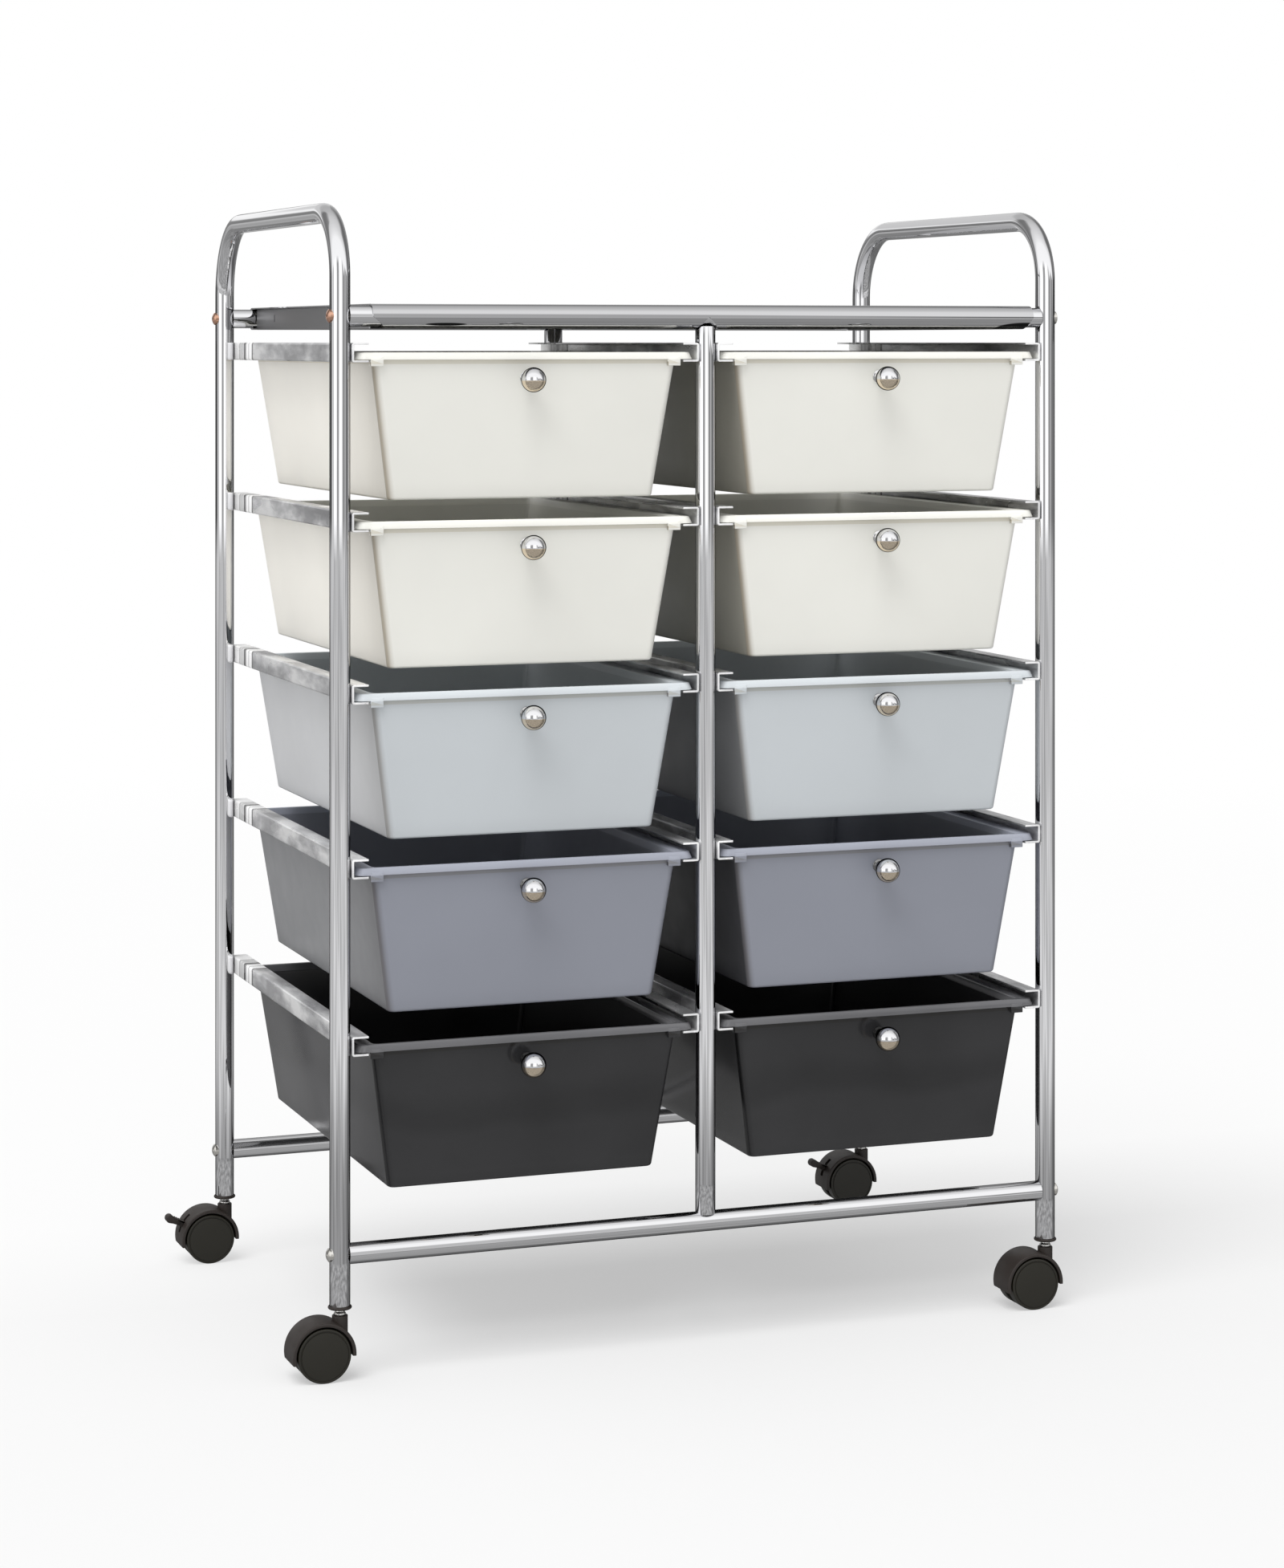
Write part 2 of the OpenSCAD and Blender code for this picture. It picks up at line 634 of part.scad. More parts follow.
// One wheel of a pair: e is 0 for the wheel nearer the front and 1 for the other
module wheel(c, e) {
    color([0.09, 0.09, 0.09]) at_post(c) translate([-trail, 0, wheel_r]) mirror([0, e, 0])
        translate([0, -wheel_in_y, 0]) rotate([90, 0, 0]) rotate_extrude() wheel_profile();
}

// Brake lever: hub with two pivot pins, arm through the slot and ribbed foot pad
module brake_lever(s) {
    tip = [-pad_reach, pad_z];
    arm = tip - pivot;
    pad_from = pivot + 0.62 * arm;
    rib_dir = arm / norm(arm);
    rib_up = [rib_dir[1], -rib_dir[0]];
    color([0.12, 0.12, 0.12]) at_post([s, 1]) rotate([90, 0, 0]) {
        translate([0, 0, -lever_hw]) linear_extrude(lever_t) {
            translate(pivot) circle(r = pivot_hub_r);
            hull() {
                translate(pivot) circle(r = pivot_hub_r * 0.7, $fn = 32);
                translate(tip) circle(r = pad_d * 0.35, $fn = 32);
            }
        }
        translate([0, 0, -pad_w / 2]) linear_extrude(pad_w) {
            translate(tip) circle(r = pad_d / 2);
            hull() {
                translate(pad_from) circle(r = pad_d * 0.32, $fn = 32);
                translate(tip) circle(r = pad_d * 0.4, $fn = 32);
            }
            for (i = [0:pad_ribs - 1])
                translate(tip - (pad_d / 2 + i * pad_rib_pitch) * rib_dir + pad_d * 0.36 * rib_up)
                    circle(d = pad_rib_d, $fn = 24);
        }
        translate([pivot[0], pivot[1], -web_hw + past / 5])
            cylinder(r = pivot_pin_r, h = web_w - 2 * past / 5);
    }
}

hoop(0);  // left_hoop
hoop(1);  // right_hoop
rail(0, top_rail_z);  // front_top_rail
rail(1, top_rail_z);  // back_top_rail
rail(0, bottom_rail_z);  // front_bottom_rail
rail(1, bottom_rail_z);  // back_bottom_rail
center_post(0);  // front_center_post
center_post(1);  // back_center_post
top_shelf();
rail_screws();
rail_inserts();
post_plugs();
caster_stems();
for (level = [1:levels]) {
    runners(level);
    for (s = [0:1]) {
        drawer(s, level);
        knob(s, level);
    }
}
for (c = corners) {
    hood(c);
    axle(c);
    for (e = [0:1]) wheel(c, e);
}
for (s = [0:1]) brake_lever(s);
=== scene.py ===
"""Looks of a rolling drawer cart: chrome tubes, moulded drawers, ball knobs and twin-wheel casters.

Every piece is a surface worked out with numpy in the part's own frame, in metres: X to the right,
Y to the back and Z up, from the floor midway between the four posts.
"""

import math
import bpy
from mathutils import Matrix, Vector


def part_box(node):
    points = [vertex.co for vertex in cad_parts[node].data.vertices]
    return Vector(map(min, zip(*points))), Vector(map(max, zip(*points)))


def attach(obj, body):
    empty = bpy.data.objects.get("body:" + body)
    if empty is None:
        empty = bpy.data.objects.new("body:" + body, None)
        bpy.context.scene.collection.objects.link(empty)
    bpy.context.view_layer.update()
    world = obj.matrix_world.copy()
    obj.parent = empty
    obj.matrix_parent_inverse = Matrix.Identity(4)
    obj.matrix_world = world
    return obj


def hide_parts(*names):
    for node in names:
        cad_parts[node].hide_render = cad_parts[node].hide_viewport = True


bl_info = {
    "name": "Rolling drawer cart",
    "version": (1, 0, 0),
    "blender": (4, 5, 0),
    "location": "View3D > Sidebar > Cart",
    "description": "Builds the visible surfaces of a rolling drawer cart round its frame",
    "category": "Add Mesh",
}

import bmesh
import bpy
import numpy as np
from bpy.props import FloatProperty, FloatVectorProperty, IntProperty, PointerProperty
from mathutils import Vector

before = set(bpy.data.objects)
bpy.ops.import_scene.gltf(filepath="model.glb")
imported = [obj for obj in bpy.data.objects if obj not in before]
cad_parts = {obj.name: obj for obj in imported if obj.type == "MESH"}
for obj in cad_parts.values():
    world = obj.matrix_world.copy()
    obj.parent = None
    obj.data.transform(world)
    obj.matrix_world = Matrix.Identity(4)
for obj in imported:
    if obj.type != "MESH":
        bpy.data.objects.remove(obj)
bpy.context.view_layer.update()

LEVELS = range(1, 6)
SIDES = ("left", "right")
ENDS = ("front", "back")
CORNERS = [(end, side) for side in SIDES for end in ENDS]
ROOT = "frame"


def span(node):
    """Lowest and highest corner of a node of the frame."""
    low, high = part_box(node)
    return np.array(low), np.array(high)


def middle(box):
    """Centre of a box."""
    return (box[0] + box[1]) / 2


def half(box):
    """Half of a box's size."""
    return (box[1] - box[0]) / 2


def columns(*parts):
    """Array whose last axis holds the parts, each stretched to the shape of the others."""
    return np.stack(np.broadcast_arrays(*parts), -1)


HOOP = {side: span(f"{side}_hoop") for side in SIDES}
RAIL = {(end, row): span(f"{end}_{row}_rail") for end in ENDS for row in ("top", "bottom")}
SHELF = span("top_shelf")
RUNNER = {level: span(f"runners_{level}") for level in LEVELS}
DRAWER = {(side, level): span(f"drawer_{side}_{level}") for side in SIDES for level in LEVELS}
HOOD = span("hood_front_left")

TUBE_R = half(HOOP["left"])[0]
POST_X = middle(HOOP["right"])[0]
POST_Y = HOOP["left"][1][1] - TUBE_R
TOP_RAIL_Z = middle(RAIL["front", "top"])[2]
BOTTOM_RAIL_Z = middle(RAIL["front", "bottom"])[2]
WHEEL_R = half(span("wheel_front_left_near"))[2]
HOOD_R = half(HOOD)[0]
# How far an axle lies to the left of its stem
TRAIL = -POST_X - middle(HOOD)[0]


def length(name, description, default):
    """Property for a length in metres."""
    return FloatProperty(name=name, description=description, default=default, unit="LENGTH")


def number(name, description, default, **limits):
    """Property for a plain number, with its limits or subtype."""
    return FloatProperty(name=name, description=description, default=default, **limits)


def tone(name, description, default):
    """Property for a base colour."""
    return FloatVectorProperty(
        name=name, description=description, default=default, subtype="COLOR", size=3, min=0, max=1)


class CartSizes(bpy.types.PropertyGroup):
    """Sizes that the frame's boxes don't give."""

    tube_wall: length("Tube wall", "Wall thickness of the chrome tubes", 0.0012)
    front_bend: length("Front bend", "Centre-line radius of the handle's front bends", 0.05)
    back_bend: length("Back bend", "Centre-line radius of the handle's back bends", 0.061)
    sheet: length("Shelf sheet", "Thickness of the shelf's sheet", 0.00125)
    strip: length("Runner strip", "Thickness of the runners' steel", 0.0015)
    runner_width: length("Runner width", "Width of a runner's channel", 0.0131)
    tub_wall: length("Tub wall", "Wall thickness of the drawers", 0.0022)
    rim_height: length("Rim height", "Height of the drawers' rim", 0.0057)
    rim_draft: length("Rim draft", "How far the rim's side lips lean outwards", 0.0027)
    tub_half: length("Tub half width", "Half of the tub's width at the rim", 0.1256)
    side_taper: length("Side taper", "How far each side leans in from rim to bottom", 0.0169)
    end_taper: length("End taper", "How far the front and back lean in", 0.0108)
    end_lip: length("End lip", "Width of the rim in front of the tub", 0.0029)
    tub_corner: length("Tub corner", "Radius of the tub's upright corners", 0.006)
    tub_edge: length("Tub edge", "Radius between the tub's walls and its bottom", 0.002)
    knob_radius: length("Knob radius", "Radius of the ball of a knob", 0.00975)
    knob_reach: length("Knob reach", "From the drawer's face to the ball's centre", 0.0183)
    knob_drop: length("Knob drop", "From the rim's lower edge down to the knob's foot", 0.014)
    arc_steps: IntProperty(
        name="Steps round a tube", description="Faces round a tube or a knob", default=64, min=24,
        max=128)


class CartColours(bpy.types.PropertyGroup):
    """Base colours of the finishes."""

    chrome: tone("Chrome", "Tint of the bright plating", (0.80, 0.80, 0.815))
    ivory: tone("Ivory", "Drawers of the two highest levels", (0.80, 0.795, 0.745))
    light_grey: tone("Light grey", "Drawers of the third level", (0.538, 0.570, 0.593))
    mid_grey: tone("Mid grey", "Drawers of the fourth level", (0.250, 0.262, 0.305))
    charcoal: tone("Charcoal", "Drawers of the lowest level", (0.028, 0.028, 0.0295))
    black: tone("Black", "Casters and plugs", (0.021, 0.0155, 0.0130))


class StageSettings(bpy.types.PropertyGroup):
    """Camera and lamps."""

    eye: FloatVectorProperty(
        name="Eye", description="Place of the camera", default=(-1.02095, -2.8214, 0.7928),
        subtype="TRANSLATION", unit="LENGTH", size=3)
    turn: number("Turn", "How far the camera looks to the right of straight back", math.radians(20.17),
                 subtype="ANGLE")
    lens: number("Lens", "Focal length in millimetres", 81.60)
    rise: number("Rise", "Vertical lens shift", -0.2823)
    key_power: number("Key lamp", "Power of the soft sun at the front left", 1.9, min=0)
    sky: number("Sky", "Strength of the even light from all round", 0.74)
    floor_lift: number("Floor lift", "Share of plain white in what the camera sees of the floor", 0.44,
                       min=0, max=1)
    room: number("Room", "Brightness of what gloss mirrors", 1.2)


# Surfaces: each function returns (points, faces, flow), where flow is a vector per point
# that finishes can follow: cosine and sine round the piece, and metres along it.

def grid(points, wrap_u=False, wrap_v=False, flow=None):
    """Quads between neighbouring points of an array of shape (nu, nv, 3). Without a flow of its own
    the place of each point is its flow."""
    nu, nv = points.shape[:2]
    u, v = np.meshgrid(np.arange(nu if wrap_u else nu - 1), np.arange(nv if wrap_v else nv - 1),
                       indexing="ij")
    u2, v2 = (u + 1) % nu, (v + 1) % nv
    quads = np.stack([u * nv + v, u2 * nv + v, u2 * nv + v2, u * nv + v2], -1).reshape(-1, 4)
    return points.reshape(-1, 3), quads.tolist(), (points if flow is None else flow).reshape(-1, 3)


def end_caps(count, total):
    """One flat face over the first ring of count points and one over the last."""
    return [list(range(count)), list(range(total - count, total))]


def circle(steps):
    """Columns of the cosines and sines of equal steps round a circle."""
    phi = np.arange(steps) * 2 * np.pi / steps
    return np.cos(phi)[:, None], np.sin(phi)[:, None]


def revolve(profile, origin, direction, steps):
    """Profile of (radius, distance) turned once round the line from origin along direction."""
    r, a = np.asarray(profile, float).T
    d = np.asarray(direction, float) / np.linalg.norm(direction)
    e1 = np.cross(d, [1.0, 0, 0] if abs(d[0]) < 0.9 else [0, 1.0, 0])
    e1 /= np.linalg.norm(e1)
    cos, sin = circle(steps)
    points = (np.asarray(origin, float) + a[None, :, None] * d
              + (r[None, :] * cos)[..., None] * e1 + (r[None, :] * sin)[..., None] * np.cross(d, e1))
    return grid(points, wrap_u=True, flow=columns(cos, sin, a))


def arc(cx, cy, r, start, stop, steps):
    """Points of an arc from start to stop degrees."""
    a = np.radians(np.linspace(start, stop, steps + 1))
    return columns(cx + r * np.cos(a), cy + r * np.sin(a))


def rounded(outline, radii, steps=4):
    """Closed outline whose corners become arcs: each arc meets both sides one tangent length away."""
    p = np.asarray(outline, float)
    radii = np.broadcast_to(np.asarray(radii, float), (len(p),))
    result = []
    for point, a, b, r in zip(p, np.roll(p, 1, 0), np.roll(p, -1, 0), radii):
        da, db = a - point, b - point
        la, lb = np.linalg.norm(da), np.linalg.norm(db)
        da, db = da / la, db / lb
        bend = math.acos(float(np.clip(da @ db, -1, 1))) / 2
        cut = min(r / math.tan(bend), 0.49 * la, 0.49 * lb)
        real = cut * math.tan(bend)
        centre = point + (da + db) / np.linalg.norm(da + db) * real / math.sin(bend)
        t = np.linspace(0, 1, steps + 1)[:, None]
        ray = (point + da * cut - centre) * (1 - t) + (point + db * cut - centre) * t
        ray *= real / np.maximum(np.linalg.norm(ray, axis=1, keepdims=True), 1e-12)
        result.append(centre + ray)
    return np.concatenate(result)


def outline_normals(outline):
    """Outward unit normals of a closed counter-clockwise outline."""
    t = np.roll(outline, -1, 0) - np.roll(outline, 1, 0)
    n = columns(t[:, 1], -t[:, 0])
    return n / np.maximum(np.linalg.norm(n, axis=1, keepdims=True), 1e-12)


def extrude(outline, place, low, high, bevel, between=()):
    """Outline carried from low to high past the heights between, drawn in by bevel at both ends.
    place maps (a, b, height) arrays to points of the frame."""
    turn = np.radians([0, 30, 60, 90])
    draw, rise = bevel * (1 - np.sin(turn)), bevel * (1 - np.cos(turn))
    inset = np.r_[draw, [0.0] * len(between), draw[::-1]]
    height = np.r_[low + rise, between, high - rise[::-1]][:, None]
    a, b = np.moveaxis(outline[None] - inset[:, None, None] * outline_normals(outline)[None], -1, 0)
    v, f, w = grid(place(a, b, height), wrap_v=True, flow=columns(a, b, height))
    return v, f + end_caps(len(outline), len(v)), w


def upright(x, y, z, side=1):
    """Place for an outline that stands in X and Z, mirrored where side is -1, and goes along Y."""
    return lambda a, b, h: columns(x + side * a, y + h, z + b)


def tube(centres, normals, sizes):
    """Frame tube along a path in a plane of constant X: rings of the outer radius along the path and
    back with the inner radius. Each ring is centre + radius (cos phi normal + sin phi X)."""
    outer, inner, count = TUBE_R, TUBE_R - sizes.tube_wall, len(centres)
    along = np.r_[0, np.cumsum(np.linalg.norm(np.diff(centres, axis=0), axis=1))]
    cos, sin = circle(sizes.arc_steps)
    ray = cos[..., None] * normals[None] + sin[..., None] * np.array([1.0, 0, 0])
    path = np.r_[np.arange(count), np.arange(count)[::-1]]
    radius = np.repeat([outer, inner], count)
    radius[0] = radius[count - 1] = outer - 0.12 * (outer - inner)
    points = centres[path][None] + radius[None, :, None] * ray[:, path]
    return grid(points, True, True, columns(cos, sin, along[path]))


def ring_stack(stations, steps):
    """Rounded rectangles of (half width, front, back, corner radius, height), one per station,
    with steps faces round each corner: shape (points round, stations, 3)."""
    hw, y0, y1, r, z = np.asarray(stations, float).T
    a = np.radians(np.linspace(0, 90, steps + 1))
    corners = []
    for turn, sx, y_edge, sy in ((-90, 1, y0, 1), (0, 1, y1, -1), (90, -1, y1, -1), (180, -1, y0, 1)):
        angle = a[:, None] + math.radians(turn)
        x, y = sx * (hw - r), y_edge + sy * r
        corners.append(columns(x + r * np.cos(angle), y + r * np.sin(angle), z))
    return np.concatenate(corners)


# Making a piece

# Points closer than this become one
MERGE = 2e-6


def add_object(name, data):
    """New object in the scene."""
    made = bpy.data.objects.new(name, data)
    bpy.context.scene.collection.objects.link(made)
    return made


def shade_smooth(mesh, sharp=35):
    """Smooth faces with a crease where two of them meet at more than sharp degrees."""
    mesh.polygons.foreach_set("use_smooth", np.ones(len(mesh.polygons), bool))
    mesh.set_sharp_from_angle(angle=math.radians(sharp))


def turn_outwards(work):
    """Makes the faces of each closed part agree and look outwards: a part is turned over where its
    volume, a third of the sum of (centre . normal) area over its faces, is below zero."""
    bmesh.ops.recalc_face_normals(work, faces=work.faces)
    left = set(work.faces)
    while left:
        part = {left.pop()}
        front = set(part)
        while front:
            front = {near for face in front for edge in face.edges for near in edge.link_faces} & left
            left -= front
            part.update(front)
        if sum(face.calc_center_median().dot(face.normal) * face.calc_area() for face in part) < 0:
            bmesh.ops.reverse_faces(work, faces=list(part))


def new_piece(node, kind, surfaces, body, slot, sharp=35):
    """Joins surfaces into one mesh that stands for a node, closes its seams and poles, turns its
    faces outwards and lets it ride on a body."""
    points, faces, flow, start = [], [], [], 0
    for v, f, w in surfaces:
        points.append(v)
        flow.append(w)
        faces.extend([[i + start for i in face] for face in f])
        start += len(v)
    name = f"{node}_{kind}"
    mesh = bpy.data.meshes.new(name)
    mesh.from_pydata(np.concatenate(points).tolist(), [], faces)
    attribute = mesh.attributes.new("flow", "FLOAT_VECTOR", "POINT")
    attribute.data.foreach_set("vector", np.concatenate(flow).astype(np.float32).ravel())
    work = bmesh.new()
    work.from_mesh(mesh)
    bmesh.ops.remove_doubles(work, verts=work.verts, dist=MERGE)
    bmesh.ops.dissolve_degenerate(work, edges=work.edges, dist=MERGE / 4)
    turn_outwards(work)
    work.to_mesh(mesh)
    work.free()
    shade_smooth(mesh, sharp)
    mesh.materials.append(finish(slot))
    piece = add_object(name, mesh)
    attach(piece, body)
    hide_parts(node)
    return piece


# Finishes

WHITE, BLACK = (1, 1, 1, 1), (0, 0, 0, 1)
# Direction that the knobs' painted dark ring, a painted reflection, lies round
KNOB_PAINTED_RING_AXIS = (-0.3447, -0.9387, 0.0)
# The balls lie in front of this Y and their necks behind it
KNOB_BALL_Y = -0.2005
PLASTIC = dict(zip(LEVELS, ("ivory", "ivory", "light_grey", "mid_grey", "charcoal")))
# Half heights of the rim's painted highlight band and of the painted shadow under it, and how far
# down that painted shadow lies
RIM_PAINTED_HIGHLIGHT_HALF, RIM_PAINTED_SHADOW_HALF, RIM_PAINTED_SHADOW_DROP = 0.00292, 0.0017, 0.0045
# Left walls to the right of this X lie between the two columns, where their own painted light and shade
# go
INNER_X = -0.1
# Painted light and shade of each drawer colour, as factors: a painted highlight on the rim, painted
# light on its left walls (slightly darker and warmer on the mid grey), painted shade on those between
# the columns (painted light on the charcoal), and a painted shade line at the corner beside them
DRAWER_LIGHT_AND_SHADE = {
    "ivory": ((1.12,) * 3, (1.19, 1.165, 1.15), (0.60, 0.60, 0.57), (0.50, 0.45, 0.39)),
    "light_grey": ((1.2,) * 3, (1.11, 1.06, 1.04), (0.55, 0.53, 0.53), (0.56, 0.52, 0.49)),
    "mid_grey": ((1.4,) * 3, (0.96, 0.93, 0.83), (0.22, 0.22, 0.21), (0.56, 0.52, 0.48)),
    "charcoal": ((4.5,) * 3, (2.1,) * 3, (1.5,) * 3, (0.3,) * 3),
}
# Painted reflection on the knobs' necks: height and tone of the drawer fronts that they mirror
NECK_PAINTED_REFLECTION = ((0.308, 0.03), (0.309, 0.25), (0.437, 0.25), (0.438, 0.55), (0.567, 0.55), (0.568, 0.8))
# Painted reflections: black marks painted on the shelf's front roll as mirror images, X, Z and half
# sizes
SHELF_PAINTED_REFLECTIONS = ((0.278, 0.803, 0.026, 0.005), (-0.217, 0.806, 0.0165, 0.0011))


class NodeWriter:
    """Adds nodes to a material or a world. Each method returns the output that it makes."""

    def __init__(self, tree):
        self.tree = tree

    def fill(self, node, inputs):
        """Gives each input its fixed value, or links an output to it."""
        for name, value in dict(inputs).items():
            if isinstance(value, bpy.types.NodeSocket):
                self.tree.links.new(value, node.inputs[name])
            else:
                node.inputs[name].default_value = value

    def node(self, kind, inputs=(), output=0, **settings):
        """Output of a new node of a kind, with its settings and inputs."""
        node = self.tree.nodes.new(f"ShaderNode{kind}")
        for name, value in settings.items():
            setattr(node, name, value)
        self.fill(node, inputs)
        return node.outputs[output] if len(node.outputs) else None

    def xyz(self, source):
        """The three parts of a vector."""
        node = self.tree.nodes.new("ShaderNodeSeparateXYZ")
        self.fill(node, {"Vector": source})
        return tuple(node.outputs)

    def math(self, operation, *values):
        """Math node on outputs or numbers."""
        return self.node("Math", enumerate(values), operation=operation)

    def times(self, a, b):
        """Product of two values."""
        return self.math("MULTIPLY", a, b)

    def below(self, value, limit):
        """1 where a value is under a limit, else 0."""
        return self.math("LESS_THAN", value, limit)

    def off(self, value, centre):
        """Distance of a value from a centre."""
        return self.math("ABSOLUTE", self.math("SUBTRACT", value, centre))

    def degrees(self, operation, *values):
        """Angle of a trigonometric operation."""
        return self.times(self.math(operation, *values), 180 / math.pi)

    def dot(self, a, b):
        """Dot product of two vectors."""
        return self.node("VectorMath", {0: a, 1: b}, "Value", operation="DOT_PRODUCT")

    def scaled(self, colour, share):
        """A colour times a share."""
        return self.node("VectorMath", {0: colour, "Scale": share}, operation="SCALE")

    def noise(self, source, scale, detail=2.0, stretch=(1, 1, 1)):
        """Noise texture on a coordinate that a Mapping node stretches."""
        vector = self.node("Mapping", {"Scale": stretch, "Vector": source})
        return self.node("TexNoise", {"Scale": scale, "Detail": detail, "Vector": vector}, "Fac")

    def remap(self, source, low, high, from_low=0.3, from_high=0.7):
        """Maps the middle of a noise to the range from low to high."""
        return self.node("MapRange", {"Value": source, "From Min": from_low, "From Max": from_high,
                                      "To Min": low, "To Max": high})

    def ramp(self, source, low, high, stops):
        """Colour ramp over a value between low and high; stops are (value, grey or colour)."""
        node = self.tree.nodes.new("ShaderNodeValToRGB")
        elements = node.color_ramp.elements
        for order, (value, shade) in enumerate(stops):
            at = (value - low) / (high - low)
            element = elements[order] if order < 2 else elements.new(at)
            element.position = at
            element.color = (*shade, 1) if isinstance(shade, tuple) else (shade, shade, shade, 1)
        self.fill(node, {"Fac": self.remap(source, 0.0, 1.0, low, high)})
        return node.outputs["Color"]

    def mix(self, factor, a, b, blend="MIX"):
        """Mix of two colours by a factor."""
        return self.node("Mix", {"Factor": factor, 6: a, 7: b}, 2, data_type="RGBA", blend_type=blend)

    def product(self, a, b):
        """Product of two colours."""
        return self.mix(1.0, a, b, "MULTIPLY")

    def mix_shader(self, factor, a, b):
        """Mix of two shaders by a factor."""
        return self.node("MixShader", {"Fac": factor, 1: a, 2: b})

    def bump(self, height, distance):
        """Normal bumped by a height times a distance in metres."""
        return self.node("Bump", {"Strength": 1.0, "Distance": distance, "Height": height})


class Finish(NodeWriter):
    """A new material with a Principled shader, and its nodes."""

    def __init__(self, name):
        self.material = bpy.data.materials.new(name)
        self.material.use_nodes = True
        super().__init__(self.material.node_tree)
        self.shader = self.tree.nodes["Principled BSDF"]
        self.place = self.node("TexCoord", output="Object")

    def paint(self, inputs):
        """Fills inputs of the shader."""
        self.fill(self.shader, inputs)


def chrome_finish(name, colour):
    """Bright plating: faint drawn lines along the piece, cloudy changes of gloss, and, below the
    handles, painted shade: its edge reflections are darkened where it is seen at a low angle."""
    made = Finish(name)
    flow = made.node("Attribute", output="Vector", attribute_name="flow")
    # Painted shade: below the handles the chrome's edge reflections are darkened
    made.paint({
        "Base Color": (*colour, 1), "Metallic": 1.0,
        "Specular Tint": made.ramp(made.xyz(made.place)[2], 0, 1, ((0.82, 0.1), (0.86, 1.0))),
        "Roughness": made.remap(made.noise(flow, 2.2, 3.0, (1, 1, 18)), 0.01, 0.035),
        "Normal": made.bump(made.noise(flow, 5.0, 1.0, (1, 1, 6)), 0.000012)})
    return made


def sheet_finish(name, colour):
    """Satin plating on the shelf's sheet with slight waves and two painted black reflections low on
    the front roll. The folded ends are duller, and darker towards the back."""
    made = Finish(name)
    place = made.place
    x, y, z = made.xyz(place)
    fold_x, fold_top, fold_y, roll_y = half(SHELF)[0] - 0.0033, SHELF[1][2] - 0.0008, 0.1776, -0.1785
    fold = made.math("GREATER_THAN", made.off(x, middle(SHELF)[0]), fold_x)
    fold = made.times(fold, made.below(z, fold_top))
    fold = made.times(fold, made.below(made.math("ABSOLUTE", y), fold_y))
    dull = made.ramp(y, -0.2, 0.2, ((-0.16, (0.60, 0.60, 0.61)), (0.15, (0.20, 0.20, 0.205))))
    satin = made.mix(fold, tuple(0.74 * c for c in (*colour, 1)), dull)
    # Painted reflections: two black spots on the front roll
    for mark_x, mark_z, half_x, half_z in SHELF_PAINTED_REFLECTIONS:
        far, high = [made.math("POWER", made.times(made.math("SUBTRACT", value, mark), 1 / size), 2.0)
                     for value, mark, size in ((x, mark_x, half_x), (z, mark_z, half_z))]
        inside = made.ramp(made.math("ADD", far, high), 0, 2, ((0.9, 1.0), (1.1, 0.0)))
        inside = made.times(inside, made.below(y, roll_y))
        satin = made.mix(inside, satin, (0.02, 0.02, 0.02, 1))
    gloss = made.remap(made.noise(place, 18.0, 3.0, (1, 0.5, 2)), 0.02, 0.05)
    made.paint({
        "Base Color": satin, "Metallic": 1.0,
        "Roughness": made.math("MULTIPLY_ADD", fold, 0.30, gloss),
        "Normal": made.bump(made.noise(place, 9.0, 1.0, (1, 1, 4)), 0.000012)})
    return made


def zinc_finish(name):
    """Zinc-coated strip: cloudy patches of light and darker zinc, drawn out along the strip. Near the
    back posts it carries painted reflections, white with dark upright lines, and where it is cut in
    front a painted highlight, both not metallic."""
    made = Finish(name)
    place, y = made.place, made.xyz(made.place)[1]
    patches = made.ramp(made.noise(place, 60.0, 4.0, (1, 0.3, 1)), 0, 1, (
        (0.38, (0.44, 0.44, 0.45)), (0.5, (0.68, 0.68, 0.69)), (0.62, (1.0, 1.0, 1.0))))
    # Painted reflections near the back posts: white with dark upright lines
    lines = made.ramp(y, 0.1, 0.2, (
        (0.1205, 0.12), (0.1225, 0.12), (0.1245, 1.0), (0.1325, 1.0), (0.134, 0.15), (0.1355, 1.0),
        (0.1415, 1.0), (0.1435, 0.45), (0.147, 0.10), (0.1505, 0.10), (0.1525, 0.8), (0.158, 0.5),
        (0.162, 0.8), (0.166, 0.35), (0.1685, 1.0)))
    # Where the painted reflections at the back and the painted highlight of the front cut lie
    bright = made.ramp(y, -0.2, 0.2, ((-0.1942, 1.0), (-0.1941, 0.0), (0.1195, 0.0), (0.1200, 1.0)))
    drawn = made.mix(made.math("GREATER_THAN", y, 0.0), WHITE, lines)
    made.paint({
        "Base Color": made.mix(bright, patches, drawn),
        "Roughness": made.remap(made.noise(place, 30.0, 2.0, (1, 0.3, 1)), 0.2, 0.36),
        "Metallic": made.remap(bright, 0.72, 0.0, 0.0, 1.0),
        "Normal": made.bump(made.noise(place, 22.0, 1.0), 0.00003)})
    return made


def plastic_finish(name, colour, rough, cloud=0.04, grain=0.000012, wave=0.0, painted_light_layers=None):
    """Moulded plastic: fine grain and a faint cloudy tone. Where it is glossy it has shallow sink
    waves and a darker level band, and a drawer's painted light and shade are laid over its colour."""
    made = Finish(name)
    place = made.place
    dark, light = [(*[c * share for c in colour], 1) for share in (1 - cloud, 1 + cloud / 2)]
    base = made.mix(made.remap(made.noise(place, 7.0, 3.0), 0.0, 1.0), dark, light)
    if painted_light_layers:
        base = paint_light_and_shade(made, base, *painted_light_layers)
    height = made.noise(place, 1500.0, 1.0)
    if wave:
        level = made.math("MULTIPLY_ADD", made.noise(place, 9.0, 3.0), 0.03, made.xyz(place)[2])
        band = made.ramp(level, 0, 1, ((0.196, 1.0), (0.206, 0.80), (0.216, 0.80), (0.232, 1.0)))
        base = made.product(base, band)
        height = made.math("MULTIPLY_ADD", made.noise(place, 14.0, 0.0), wave / grain, height)
    made.paint({
        "Base Color": base,
        "Roughness": made.remap(made.noise(place, 40.0, 2.0), rough * 0.85, rough * 1.15),
        "Normal": made.bump(height, grain)})
    return made


